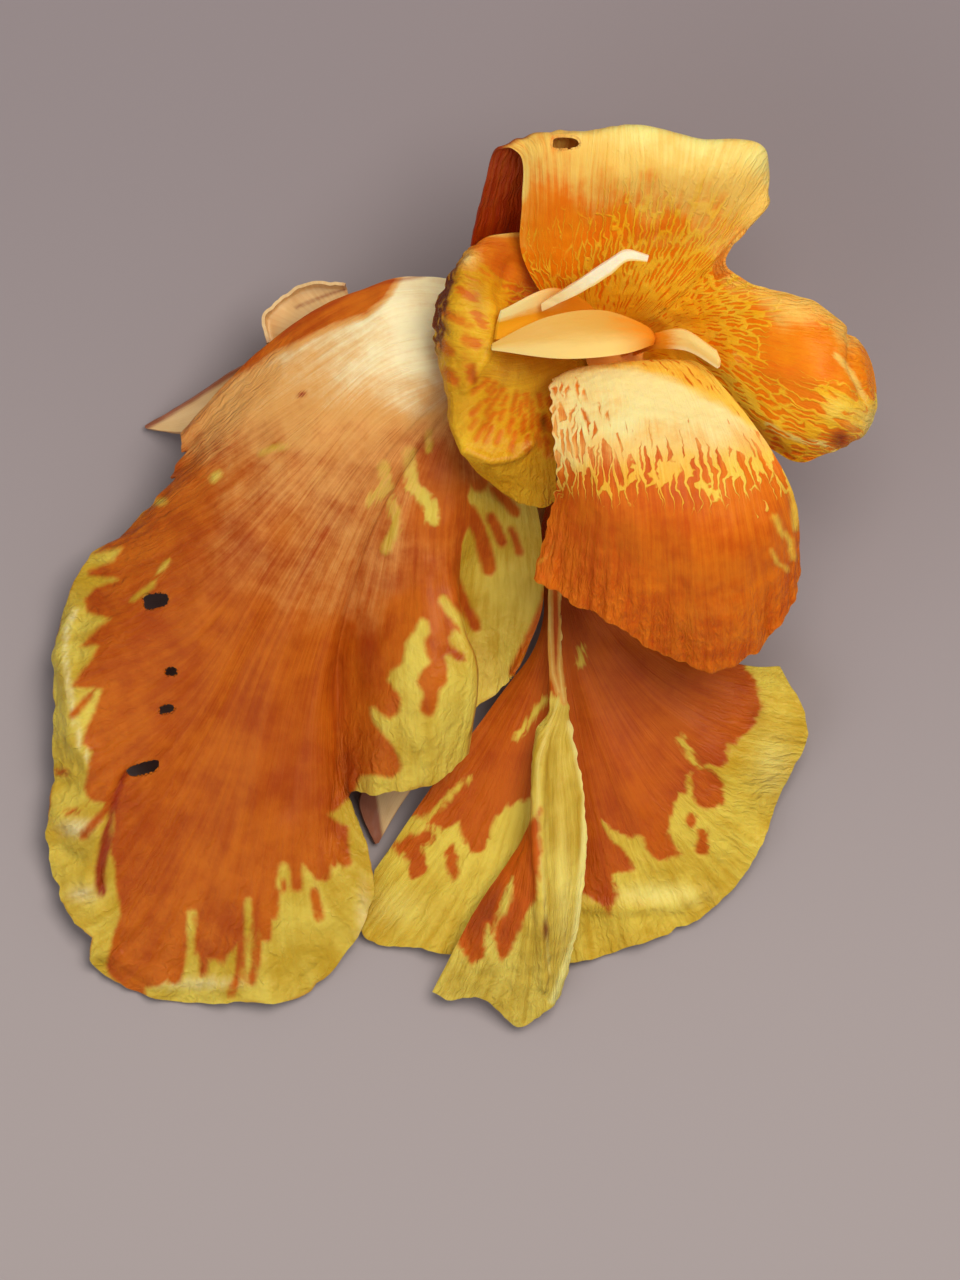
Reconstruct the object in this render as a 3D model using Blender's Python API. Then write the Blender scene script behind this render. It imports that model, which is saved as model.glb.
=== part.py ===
"""A canna flower, picked and just wilting, laid on its back so that it faces up.

The origin is under the middle of the bloom, on the surface that it lies on. X runs to the right and Y
to the top as one looks down into the flower, and Z is up. The ovary stands on its flat stalk scar, the
short flower tube rises from it, and every petal grows from the side or the rim of that tube.

A petal is a thin sheet. It is described by its veins: the curves that run from its root on the tube out
to its margin, side by side. Each vein is a short list of points in millimetres, and a smooth surface
through all the veins is given its thickness by a Solidify modifier.
"""

import math

import bmesh
import bpy
from mathutils import Vector

MM = 0.001

SHEET_THICKNESS = 0.7
STYLE_THICKNESS = 0.9
ORGAN_GAP = 0.3
ROOT_GAP = 0.62

TUBE_AXIS = Vector((22.0, 32.0, 0.0))
TUBE_LOW_RADIUS = 4.0
TUBE_TOP_RADIUS = 4.5
TUBE_BOTTOM = 8.5
TUBE_TOP = 21.7
TUBE_SIDES = 24
OVARY_RADIUS = 4.9
OVARY_HEIGHT = TUBE_BOTTOM - ORGAN_GAP
OVARY_CENTRE_HEIGHT = 4.3
OVARY_SIDES = 26
OVARY_RINGS = 14
WART_HEIGHT = 0.32
WARTS_ROUND = 13
WARTS_UP = 6
RIM_ROOT_RADIUS = 3.3
RIM_ROOT_HEIGHT = TUBE_TOP + ROOT_GAP

# Where a petal leaves the side of the tube, its root is given as the directions round the tube that it
# spans, in degrees, and its height. The petals on the rim have the directions alone.

# The large left petal, carried out to its blade by a narrow claw. The first veins run along its upper
# edge, the middle ones out to the left and down, and the last ones down the pleated lobe beside the fan.
LEFT_ROOT = (150.0, 215.0, 14.5)
LEFT_CLAW = ((12.0, 36.5, 18.0), (10.0, 30.0, 19.5))
LEFT_VEINS = (
    ((3, 41.4, 22), (-5.1, 42.4, 24.2), (-13.2, 40.8, 25), (-22, 36.7, 22.5), (-31, 29.3, 18),
     (-39, 20.5, 12)),
    ((2, 37.8, 23.9), (-6, 38.8, 26.8), (-15, 35.2, 26.8), (-26, 27.5, 23.2), (-34, 20.6, 18),
     (-40, 16, 12)),
    ((1.5, 35, 24.5), (-8, 34, 27.5), (-20, 25.5, 26.5), (-31, 18, 21), (-40, 12, 15), (-46, 8, 10)),
    ((1, 33, 25), (-9, 31, 28), (-22, 20, 26), (-34, 10, 20), (-46, 4, 12), (-52, 3, 7)),
    ((0.5, 31, 25), (-9.5, 28, 28), (-23, 15, 25), (-37, 2, 18), (-50, -4, 11), (-56, -4.5, 6)),
    ((0, 29.5, 25), (-10, 25.5, 27.5), (-24, 10, 24), (-38, -6, 16), (-53, -13, 11), (-56.7, -14, 6)),
    ((0, 28.5, 24.8), (-10.5, 23, 27), (-25, 5, 22), (-38, -14, 14), (-52.5, -24, 10), (-57.3, -26, 5)),
    ((-0.3, 28, 24.6), (-10.5, 21, 26.5), (-26, 0, 20), (-39, -22, 12), (-52, -35, 8), (-57.9, -39, 4)),
    ((-0.6, 27.5, 24.4), (-10.5, 19.5, 26), (-26, -4, 18), (-38, -28, 10), (-49, -45, 5),
     (-54.5, -48, 3)),
    ((-0.9, 27, 24.2), (-10.5, 18, 25.5), (-26, -8, 17), (-36, -33, 9), (-46, -50, 4), (-51, -55, 1.5)),
    ((-1.1, 26.5, 24), (-10.5, 17, 25), (-25, -11, 16), (-33, -36, 9), (-38, -51, 4.5),
     (-42, -59, 0.8)),
    ((-1.2, 26, 23.8), (-10, 16, 24.5), (-23, -13, 15), (-28, -37, 9), (-31, -52, 5),
     (-32, -59.5, 1.5)),
    ((-1.2, 25.5, 23.6), (-9.5, 15, 24), (-21, -14, 14.5), (-24, -36, 9), (-24, -50, 5),
     (-22, -58.5, 1.8)),
    ((-1.1, 25, 23.4), (-9, 14.5, 23.5), (-19, -13, 14), (-20, -32, 9), (-18, -43, 6),
     (-13, -47.5, 3.6)),
    ((-1, 24.6, 23.2), (-8.5, 14.5, 23), (-17.5, -10, 13), (-18, -25, 9), (-17, -33, 7),
     (-13, -37.5, 5.2)),
    ((-0.8, 24.2, 23), (-8, 15, 22.5), (-16.5, -7, 12), (-17, -17, 9), (-16.5, -25, 8),
     (-16, -30.8, 7)),
    ((-0.4, 23.8, 22.8), (-6.5, 14, 22.5), (-10, -3, 17.5), (-11, -12, 17), (-11, -22, 16),
     (-11, -30.2, 12)),
    ((0, 23.5, 22.6), (-4.5, 13.5, 22.5), (-6, 0, 19.5), (-6, -10, 20.5), (-5, -19, 19), (-5, -29, 13)),
    ((0.6, 23, 22.2), (-1, 12.5, 22), (-1.5, 0.5, 19.5), (0.5, -7, 19.5), (2.2, -14, 18),
     (0.7, -25, 12)),
    ((1.6, 22.5, 21.5), (2, 12, 20), (0.5, 2, 16), (-1, -6, 14.5), (-1, -13, 12.5), (-0.5, -21, 10.5)),
    ((3.5, 22, 20.5), (5.5, 12, 18), (5, 3, 14), (5, -4, 12), (5, -10, 10.8), (5.5, -15.5, 9.8)),
    ((6.5, 21.5, 19), (9.5, 12, 16.5), (10.3, 3, 13.5), (10.5, -4, 12), (9.3, -9, 11), (8, -13, 10)),
)

# The broad fan at the lower right, on a flat claw, from its left edge round to its right edge.
FAN_ROOT = (235.0, 262.0, 12.5)
FAN_CLAW = (((15.5, 19, 12), (18, 20, 12)), ((11.5, 8, 11), (15, 8, 11)))
FAN_VEINS = (
    ((11.8, -5, 9), (5, -17, 6.5), (-4, -29, 5), (-12, -41, 2.4)),
    ((12.4, -5, 9.4), (6, -22, 7.2), (-2, -36, 4.6), (-13.5, -50.5, 1.4)),
    ((12.8, -5, 9.6), (8, -25, 7.6), (2, -40, 5), (-5, -52, 1.4)),
    ((13.2, -5, 9.8), (10.5, -27, 7.6), (8, -43, 4.6), (5, -54, 1.3)),
    ((13.6, -5, 9.8), (14, -28, 7), (14.5, -44, 4), (15, -54, 1.3)),
    ((14.2, -5, 9.8), (18, -28, 7.2), (21, -42, 4.5), (23, -52, 1.4)),
    ((15, -5, 10), (22, -27, 8), (28, -39, 5), (33, -48, 1.5)),
    ((16, -5, 10), (26, -25, 8.5), (34, -34, 6.5), (41, -40, 2.5)),
    ((17, -4, 10), (29, -21, 9.5), (38, -28, 8), (45.5, -29, 4)),
    ((18.5, -3, 10.5), (31, -16, 10.5), (41, -20, 9.5), (49, -21.5, 6)),
    ((20, -1, 11), (33, -10, 11.5), (41, -12, 11), (45, -12, 8.5)),
)

# The folded blade over the fan: a thin twisted claw, then two flanks that meet in a ridge. The veins go
# from the margin of the left flank over the ridge to the margin of the narrow right flank.
FOLDED_ROOT = (265.0, 285.0, 16.2)
FOLDED_CLAW = (
    ((18.2, 18, 16), (20.2, 18, 16.4)),
    ((14.6, 8, 14.5), (16.8, 8, 15.3)),
    ((12.6, 0, 13.6), (14.6, 0, 14.8)),
    ((12.4, -8, 14.2), (14.3, -8, 13.2)),
    ((12.6, -16, 13.6), (15.1, -16, 12.2)),
)
FOLDED_VEINS = (
    ((10.9, -25, 10.6), (9.8, -34, 9.6), (2.4, -46, 7.6), (-4, -58, 2.4)),
    ((10.8, -25, 11.4), (9.9, -34, 11), (4.6, -46.8, 8.8), (-1, -59.5, 2.2)),
    ((10.9, -25, 12.2), (10.3, -34, 12.2), (8, -47, 10.2), (3, -58.8, 3.2)),
    ((11, -25, 12.9), (10.6, -34, 13), (10.2, -46.5, 11.3), (8.3, -63, 1.6)),
    ((11.6, -25, 13.4), (11.4, -34, 13.4), (12.2, -46, 11.7), (12, -60.9, 3.2)),
    ((14, -25, 12.2), (14.6, -33.5, 11.7), (14.8, -45.5, 9.8), (13.2, -59.6, 3)),
    ((16.6, -25, 10.2), (17.8, -33, 9.4), (17, -45, 7.6), (14.2, -58, 2.6)),
)

# The upper petal. Its hood rises from the rim of the tube at the top, and the hood's veins roll back at
# their ends. Past a notch in its margin it goes on as a humped arm that reaches out to the right, whose
# lowest edge is turned under.
HOOD_ROOT = (155.0, 52.0)
HOOD_VEINS = (
    ((15.6, 36, 26), (10.8, 41, 33), (8.4, 47, 38.6), (8.7, 53, 43.8), (8.5, 59, 47), (5.2, 60, 45.5),
     (3.3, 54.4, 41), (1.4, 46, 34.8)),
    ((17, 36.5, 26), (13, 42, 34), (12, 48, 41), (12, 54.5, 46.5), (11.5, 60.5, 49), (10.5, 61.5, 46),
     (8.8, 56, 40.4), (7.2, 47.6, 31.8)),
    ((19, 37, 26), (18, 43, 34.5), (18, 50, 43), (18.5, 57, 49), (19, 62, 49.5), (19, 61.5, 45),
     (18, 56, 41), (17, 50, 39)),
    ((22, 37.5, 26), (24, 44, 35), (25, 51, 44), (25.5, 58, 50), (25, 62.9, 49), (25, 61.5, 44),
     (25, 56, 41), (25, 50, 40)),
    ((24.5, 37.5, 26.5), (28.8, 44, 35), (31.2, 51, 44), (32.6, 57, 49.5), (33.3, 61, 48.5),
     (33.4, 60, 44), (33.2, 56.5, 42), (33, 52, 41.5)),
    ((26.2, 37.3, 27), (32.4, 43.8, 36), (37, 50, 43), (40, 56, 47.6), (42.3, 59.3, 47),
     (42.4, 58.6, 44), (41.8, 56.2, 42.6), (41, 53.6, 42.2)),
    ((27.2, 37, 27.5), (33.8, 43, 36), (37, 46.8, 40.2), (39, 49.2, 42.4), (40.6, 51, 43.8),
     (41.8, 52, 44.4), (42.6, 52.5, 44.2), (43, 52.7, 43.4)),
    ((27.9, 36.7, 27.8), (30.6, 39, 31.2), (32.6, 40.4, 33.8), (34, 41.2, 35.7), (35.1, 41.9, 37.2),
     (36, 42.4, 38.4), (36.8, 42.8, 39.5), (37.5, 43.1, 40.4)),
)
ARM_ROOT = (46.0, -14.0)
ARM_VEINS = (
    ((28.4, 36.4, 27.6), (31.2, 38.4, 31.2), (33.3, 39.4, 33.9), (35, 40.1, 36), (36.4, 40.6, 37.6),
     (37.7, 41, 38.9), (38.8, 41.3, 39.9), (39.8, 41.6, 40.7)),
    ((28.8, 36, 27.4), (32.6, 37.7, 32.2), (35.5, 38.7, 36), (37.9, 39.3, 38.7), (39.9, 39.7, 40.4),
     (41.6, 40, 41.3), (43.1, 40.1, 41.7), (44.6, 40, 41.7)),
    ((29.2, 35.5, 27.2), (33.6, 36.7, 33.2), (37.6, 37.3, 38.2), (41, 37.6, 41.6), (44, 37.8, 43.6),
     (46.6, 37.9, 44.3), (48.8, 37.9, 43.9), (50.6, 37.7, 42.8)),
    ((29.6, 34.8, 27), (34.8, 35.2, 34), (40, 34.8, 40.8), (44.4, 34.2, 44.6), (48.4, 33.6, 46.2),
     (52, 33, 45.4), (55, 32.3, 42.4), (56.8, 31.4, 38.4)),
    ((29.8, 34, 26.8), (35.2, 33.4, 33.8), (40.8, 31.6, 41), (45.6, 30, 45), (50, 28.6, 46.4),
     (53.6, 27.2, 45), (56.6, 26, 41.4), (57.9, 24.8, 37)),
    ((29.8, 33.1, 26.6), (35.4, 31.4, 33), (41, 28.4, 39.8), (46, 26, 43.8), (50.2, 24.2, 45.2),
     (53.6, 22.8, 44), (56.2, 21.8, 40.8), (57, 21.3, 37)),
    ((29.5, 32.2, 26.3), (35.3, 29.4, 31.8), (40.8, 25.6, 37.6), (45.4, 23, 41.4), (49.2, 21.4, 42.8),
     (52.2, 20.4, 41.8), (54.2, 19.8, 39.6), (54.6, 19.4, 37.2)),
    ((29, 31.2, 26), (34.8, 27.6, 30.8), (39.8, 24, 35.4), (43.6, 21.5, 38.6), (46.6, 20.1, 40),
     (49.2, 19.2, 40), (51.2, 18.6, 39), (52.3, 18.1, 37.6)),
    ((28.4, 30.3, 25.4), (33.6, 26.2, 28.6), (38, 22.6, 31), (41.4, 19.8, 33), (43.8, 18.2, 34.2),
     (45.4, 17.2, 34.8), (46.6, 16.8, 35.2), (48.2, 16.6, 35.6)),
)

# The cup left of the throat: it leaves the side of the tube, rises to a ridge and turns down past it.
CUP_ROOT = (120.0, 225.0, 18.5)
CUP_VEINS = (
    ((17, 39, 22.6), (13.2, 44.2, 28.4), (9.4, 48.4, 35.4), (5, 48.1, 38), (1.2, 46, 38.4)),
    ((15, 37, 23.2), (10, 40.6, 29.8), (6, 42.2, 36.4), (2.4, 44, 39.8), (-0.8, 43.8, 36.8)),
    ((14, 35, 24), (8, 36.2, 32.6), (4.6, 37.2, 39.4), (0.5, 38.7, 40), (-3.6, 37.6, 34.2)),
    ((13.5, 33, 24.5), (7.5, 32.7, 33), (3.6, 33, 39.4), (0, 33.5, 39.5), (-3.7, 33.9, 33)),
    ((13.5, 31, 24.5), (7.5, 29.5, 33), (2.5, 30, 39.2), (-0.8, 30, 38), (-2.9, 30.5, 32)),
    ((14, 29, 24), (7.5, 26.5, 32), (1.8, 26.5, 37.5), (-0.8, 25.5, 36), (-1.8, 25.5, 31)),
    ((14.5, 28, 23.5), (8.5, 24, 30.5), (3, 21, 35), (0.8, 18.4, 35), (-0.3, 19.3, 30.5)),
    ((15.5, 27, 23.5), (10.5, 22.5, 29.5), (7, 19.5, 33.5), (5, 17, 34.5), (4.5, 13.3, 27.5)),
    ((16.5, 26.5, 23.5), (12.5, 22.5, 29), (10.3, 20.5, 32.5), (9.8, 19, 33), (9.5, 10, 25)),
    ((17.5, 26, 23.5), (15, 21.5, 28.5), (14, 19, 31), (13.5, 17, 31.5), (13.5, 10.5, 25.5)),
)

# The lip below the throat: it rises from the rim, crests in a fringe, and falls as a fluted fan.
LIP_ROOT = (228.0, 334.0)
LIP_VEINS = (
    ((16.7, 28, 26.5), (13, 28, 32.5), (12.5, 24, 38.5), (13, 19, 41.5), (13.6, 15, 41),
     (13, 11.5, 36.5), (10.4, 0.3, 29)),
    ((17.8, 27.8, 26), (16, 29.4, 32), (16.5, 24, 40), (16.5, 18.5, 44), (17, 13, 44), (16.5, 7, 39),
     (15.5, -3, 31)),
    ((20, 27.8, 26), (20, 30, 32), (21, 24.6, 41), (21, 18, 46), (21.5, 11, 46.5), (21.5, 3, 40.5),
     (21, -5.8, 33)),
    ((22.2, 28, 26), (24, 30.4, 31.6), (26, 24.4, 41), (27, 17, 47), (28, 9, 47), (28.5, -1, 39),
     (28.5, -10.8, 29)),
    ((24.2, 28.2, 26), (27.8, 30.6, 31.2), (31.5, 24.6, 39.6), (33.4, 16.8, 46), (35, 7, 46),
     (36, -3, 38), (36.5, -12.6, 28)),
    ((25.6, 28.8, 26), (30.4, 30.6, 31.4), (35.4, 25, 38.2), (38.8, 17.4, 43.4), (41, 8, 44),
     (42, 0, 37.5), (42.5, -9, 29)),
    ((26.4, 29.4, 26), (31.8, 30.4, 31.8), (36.8, 25.4, 37.2), (41, 18.6, 41), (44.2, 11.8, 41.6),
     (46, 4.5, 36.5), (46.5, -3, 30)),
    ((26.8, 30, 26), (32.4, 30.6, 32.2), (37.2, 26.2, 36.6), (41.4, 20.8, 39.4), (44.6, 15.8, 40.6),
     (46.8, 9.8, 37), (47.3, 2, 31)),
)

# The narrow true petals behind the bloom. Each is lanceolate and hollowed along its length.
TRUE_LEFT_ROOT = (170.0, 186.0, 10.4)
TRUE_LEFT_VEINS = (
    ((8, 35, 11), (-10, 34.5, 11), (-24, 33, 9.6), (-32, 29.5, 7.4), (-38, 25.3, 4.6),
     (-43.7, 22.9, 1.5)),
    ((8, 33.4, 10.4), (-10, 32.8, 9.8), (-24, 31, 8.4), (-32.2, 27.6, 6.4), (-38.4, 24, 3.8),
     (-44.2, 22.4, 1.3)),
    ((8, 32, 10.2), (-10, 31, 9.4), (-24, 29, 8), (-32.4, 25.8, 6), (-39, 22.6, 3.4),
     (-44.4, 21.8, 1.1)),
    ((8, 30.6, 10.4), (-10, 29, 9.8), (-24, 26.8, 8.4), (-32.7, 23.6, 6.3), (-39.5, 21.2, 3.6),
     (-44.3, 21.1, 1.2)),
    ((8, 29, 11), (-10, 27, 10.8), (-24, 24.5, 9.4), (-33, 21.5, 7.2), (-40, 19.8, 4.2),
     (-43.9, 20.6, 1.4)),
)
TRUE_CURLED_ROOT = (157.0, 143.0, 12.2)
TRUE_CURLED_VEINS = (
    ((12, 35, 15), (0, 36.4, 19), (-10, 35, 20), (-20, 32.6, 18), (-26.6, 33, 14.6), (-26.9, 33.4, 16.4)),
    ((12, 35.8, 15), (0, 37.4, 19), (-10, 36.4, 20), (-20.6, 34.8, 18), (-27.1, 36.8, 14.4),
     (-27.4, 37.1, 16.6)),
    ((12, 36.6, 15), (0, 38.6, 19), (-10, 37.6, 20), (-19.8, 36.6, 18), (-24.1, 39.8, 15),
     (-24, 40.2, 17.2)),
    ((12.2, 37.4, 15), (0, 39.6, 19), (-9.6, 38.8, 20.4), (-17.6, 37.8, 18.6), (-20.5, 41.3, 16.6),
     (-20.7, 41.7, 18.6)),
    ((12.4, 38.2, 15.2), (0.4, 40.4, 19.2), (-8.6, 40.2, 21), (-14.6, 38.9, 19.9), (-16, 41, 18.2),
     (-16.1, 41.4, 20)),
)
TRUE_LOWER_ROOT = (222.0, 236.0, 10.0)
TRUE_LOWER_VEINS = (
    ((10.5, 20, 9.8), (2, 4, 7.8), (-4, -12, 6.2), (-9.2, -24, 4.4), (-12.4, -36.8, 1.3)),
    ((14, 20, 8.6), (6, 4, 6.4), (0, -12, 4.8), (-6, -24, 3.2), (-12, -37, 1.1)),
    ((17, 20, 9.6), (10, 4, 7.4), (4, -12, 5.2), (-2.8, -24, 3.4), (-11.5, -36.8, 1.1)),
)

# The organs inside the throat: the style, the petal-like stamen with its anther, and the small strip.
STYLE_VEINS = (
    ((22.8, 31.4, RIM_ROOT_HEIGHT), (25.6, 32.2, 30.5), (23, 31, 35.6), (14, 31, 39.4),
     (4.4, 32.2, 41.6)),
    ((22.6, 31.9, RIM_ROOT_HEIGHT), (25.6, 33.6, 31), (22.5, 34, 37), (13.5, 33.8, 41),
     (4.4, 32.6, 41.9)),
    ((22.4, 32.5, RIM_ROOT_HEIGHT), (24.8, 35.2, 30.6), (20.6, 37.6, 36.6), (12.4, 36.6, 40.6),
     (4.6, 33, 41.9)),
)
STAMEN_VEINS = (
    ((20.9, 32.2, RIM_ROOT_HEIGHT), (20.6, 33.6, 29), (14, 34, 35.4), (4.9, 33.5, 40.7)),
    ((20.7, 33, RIM_ROOT_HEIGHT), (18.8, 36, 29), (12.4, 36.6, 35), (5.2, 35.4, 40.7)),
    ((20.5, 33.8, RIM_ROOT_HEIGHT), (17.8, 38.6, 31), (13, 40.6, 37), (5.8, 37.4, 41.4)),
)
ANTHER_VEINS = (
    ((11.5, 37.6, 38.2), (17, 40.2, 41.6), (21, 42.6, 43.4), (23.3, 44.4, 44.2), (26, 44.3, 43.9)),
    ((11.4, 38.6, 38.8), (16.6, 41.2, 42.4), (20.5, 43.6, 44.2), (23.3, 45.6, 44.8),
     (26.2, 45.1, 44.2)),
)
SMALL_STRIP_VEINS = (
    ((24.3, 31.5, RIM_ROOT_HEIGHT), (28, 32.4, 30), (32, 32, 34.4), (36, 29.6, 37.6)),
    ((24.2, 32.2, RIM_ROOT_HEIGHT), (27.9, 33.6, 30.6), (31.8, 33.5, 35.4), (36.1, 30.6, 38.4)),
    ((24, 32.9, RIM_ROOT_HEIGHT), (27.5, 34.6, 30.4), (31.2, 34.9, 35.2), (35.6, 32, 38.2)),
)

# Each sepal is a small pointed blade. Its direction round the tube is in degrees.
SEPALS = {"sepal_right": 20.0, "sepal_upper": 118.0, "sepal_lower": 300.0}
SEPAL_LENGTH = 11.0
SEPAL_WIDTH = 4.6
SEPAL_ROOT_RADIUS = 4.45
SEPAL_ROOT_HEIGHT = 8.95

COLOURS = {
    "ovary": ((0.20, 0.24, 0.06), 0.7),
    "flower_tube": ((0.62, 0.50, 0.20), 0.55),
    "sepal": ((0.42, 0.28, 0.14), 0.7),
    "true_petal": ((0.72, 0.42, 0.20), 0.55),
    "orange": ((0.74, 0.28, 0.03), 0.5),
    "yellow_orange": ((0.80, 0.42, 0.06), 0.5),
    "ochre": ((0.50, 0.27, 0.03), 0.5),
    "pale_yellow": ((0.86, 0.66, 0.28), 0.5),
    "cream": ((0.84, 0.64, 0.32), 0.45),
    "anther": ((0.88, 0.80, 0.62), 0.6),
}


def clear_scene():
    for old in list(bpy.data.objects):
        bpy.data.objects.remove(old, do_unlink=True)


def material_for(name, colour_name):
    """A Principled material of the object's own."""
    colour, roughness = COLOURS[colour_name]
    material = bpy.data.materials.new(name)
    material.use_nodes = True
    shader = material.node_tree.nodes["Principled BSDF"]
    shader.inputs["Base Color"].default_value = (*colour, 1.0)
    shader.inputs["Roughness"].default_value = roughness
    shader.inputs["Metallic"].default_value = 0.0
    return material


def add_object(name, bm, colour_name):
    mesh = bpy.data.meshes.new(name)
    bm.to_mesh(mesh)
    bm.free()
    for face in mesh.polygons:
        face.use_smooth = True
    made = bpy.data.objects.new(name, mesh)
    made.data.materials.append(material_for(name, colour_name))
    bpy.context.scene.collection.objects.link(made)
    return made


def knots_of(rows):
    """Where the points of like rows lie, from 0 to 1: the mean share of each row's length."""
    count = len(rows[0])
    shares = [0.0] * count
    for row in rows:
        lengths = [0.0]
        for a, b in zip(row, row[1:]):
            lengths.append(lengths[-1] + (b - a).length)
        for i in range(count):
            shares[i] += lengths[i] / lengths[-1] / len(rows)
    return shares


def spline(points, knots, steps):
    """A smooth curve through the points, with so many steps between each two of them."""
    slopes = []
    last = len(points) - 1
    for i in range(last + 1):
        if 0 < i < last:
            before = (points[i] - points[i - 1]) / (knots[i] - knots[i - 1])
            after = (points[i + 1] - points[i]) / (knots[i + 1] - knots[i])
            weight = (knots[i] - knots[i - 1]) / (knots[i + 1] - knots[i - 1])
            slopes.append(before.lerp(after, weight))
        else:
            near = min(i, last - 1)
            slopes.append((points[near + 1] - points[near]) / (knots[near + 1] - knots[near]))
    curve = []
    for i in range(last):
        span = knots[i + 1] - knots[i]
        for step in range(steps):
            t = step / steps
            start = points[i] * (2 * t**3 - 3 * t**2 + 1) + slopes[i] * span * (t**3 - 2 * t**2 + t)
            end = points[i + 1] * (3 * t**2 - 2 * t**3) + slopes[i + 1] * span * (t**3 - t**2)
            curve.append(start + end)
    curve.append(points[last].copy())
    return curve


def loft(veins, per_vein, per_point):
    """Rows of points on the smooth surface through the veins, from root to margin."""
    veins = [[Vector(point) for point in vein] for vein in veins]
    knots = knots_of(veins)
    curves = [spline(vein, knots, per_point) for vein in veins]
    rows = [list(row) for row in zip(*curves)]
    knots = knots_of(rows)
    return [spline(row, knots, per_vein) for row in rows]


def frill(rows, height, waves, reach):
    """Raises and lowers the rows near the margin in waves along it, more and more towards its edge."""
    last = len(rows) - 1
    across = len(rows[0]) - 1
    for j, row in enumerate(rows):
        nearness = max(0.0, 1 - (1 - j / last) / reach)
        for i, point in enumerate(row):
            turn = 2 * math.pi * waves * i / across
            wave = 0.62 * math.sin(turn) + 0.38 * math.sin(1.63 * turn + 1.1)
            point.z += height * nearness**2 * wave
    return rows


def sheet(name, rows, colour_name, thickness=SHEET_THICKNESS):
    """A petal: the rows joined by triangles, with the thickness laid half on each side."""
    bm = bmesh.new()
    grid = [[bm.verts.new(point * MM) for point in row] for row in rows]
    for near, far in zip(grid, grid[1:]):
        for i in range(len(near) - 1):
            bm.faces.new((near[i], near[i + 1], far[i + 1]))
            bm.faces.new((near[i], far[i + 1], far[i]))
    petal = add_object(name, bm, colour_name)
    solidify = petal.modifiers.new("thickness", "SOLIDIFY")
    solidify.thickness = thickness * MM
    solidify.offset = 0.0
    return petal


def tube_side(degrees, height):
    """A point just clear of the side of the flower tube."""
    share = (height - TUBE_BOTTOM) / (TUBE_TOP - TUBE_BOTTOM)
    radius = TUBE_LOW_RADIUS + (TUBE_TOP_RADIUS - TUBE_LOW_RADIUS) * share + ROOT_GAP
    turn = math.radians(degrees)
    return TUBE_AXIS + Vector((radius * math.cos(turn), radius * math.sin(turn), height))


def tube_rim(degrees):
    """A point just above the rim of the flower tube."""
    turn = math.radians(degrees)
    outward = Vector((math.cos(turn), math.sin(turn), 0.0))
    return TUBE_AXIS + outward * RIM_ROOT_RADIUS + Vector((0.0, 0.0, RIM_ROOT_HEIGHT))


def between(pair, share):
    return Vector(pair[0]).lerp(Vector(pair[1]), share)


def from_side(veins, root, claw=()):
    """The veins with their roots spread along the tube's side, and their claw points in order."""
    whole = []
    for i, vein in enumerate(veins):
        share = i / (len(veins) - 1)
        degrees = root[0] + (root[1] - root[0]) * share
        start = [tube_side(degrees, root[2])] + [between(pair, share) for pair in claw]
        whole.append(start + [Vector(point) for point in vein])
    return whole


def from_rim(veins, root):
    """The veins with their roots spread along the tube's rim."""
    whole = []
    for i, vein in enumerate(veins):
        degrees = root[0] + (root[1] - root[0]) * i / (len(veins) - 1)
        whole.append([tube_rim(degrees)] + [Vector(point) for point in vein])
    return whole


def make_ovary():
    """A round warty ovary, cut flat where it left its stalk and where the tube stands on it."""
    bm = bmesh.new()
    bmesh.ops.create_uvsphere(bm, u_segments=OVARY_SIDES, v_segments=OVARY_RINGS, radius=1.0)
    for vert in bm.verts:
        around = math.atan2(vert.co.y, vert.co.x)
        up = math.asin(max(-1.0, min(1.0, vert.co.z)))
        wart = math.cos(WARTS_ROUND * around) * math.cos(2 * WARTS_UP * up) * math.cos(up)
        place = vert.co * (OVARY_RADIUS + WART_HEIGHT * wart)
        place.z = max(0.0, min(OVARY_HEIGHT, place.z + OVARY_CENTRE_HEIGHT))
        vert.co = (TUBE_AXIS + place) * MM
    bmesh.ops.triangulate(bm, faces=bm.faces)
    return add_object("ovary", bm, "ovary")


def make_tube():
    """The short tube that the bases of the petals form, a little wider at its rim."""
    bm = bmesh.new()
    height = TUBE_TOP - TUBE_BOTTOM
    bmesh.ops.create_cone(
        bm,
        cap_ends=True,
        cap_tris=True,
        segments=TUBE_SIDES,
        radius1=TUBE_LOW_RADIUS,
        radius2=TUBE_TOP_RADIUS,
        depth=height,
    )
    for vert in bm.verts:
        vert.co = (TUBE_AXIS + vert.co + Vector((0, 0, TUBE_BOTTOM + height / 2))) * MM
    bmesh.ops.triangulate(bm, faces=bm.faces)
    return add_object("flower_tube", bm, "flower_tube")


def make_sepal(name, degrees):
    """A small pointed blade that leans away from the tube, hollowed along its middle."""
    out = Vector((math.cos(math.radians(degrees)), math.sin(math.radians(degrees)), 0.0))
    side = Vector((-out.y, out.x, 0.0))
    stations = ((0.0, 0.62, 0.0), (0.3, 1.0, 0.06), (0.65, 0.78, 0.2), (1.0, 0.12, 0.42))
    veins = []
    for across in (-1.0, -0.5, 0.0, 0.5, 1.0):
        vein = []
        for share, width, droop in stations:
            lean = SEPAL_ROOT_RADIUS + SEPAL_LENGTH * share
            height = SEPAL_ROOT_HEIGHT + 0.8 * (across * width) ** 2 - SEPAL_LENGTH * droop
            offset = out * lean + side * (0.5 * SEPAL_WIDTH * width * across)
            vein.append(TUBE_AXIS + offset + Vector((0, 0, height)))
        veins.append(vein)
    return sheet(name, loft(veins, 1, 2), "sepal")


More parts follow.
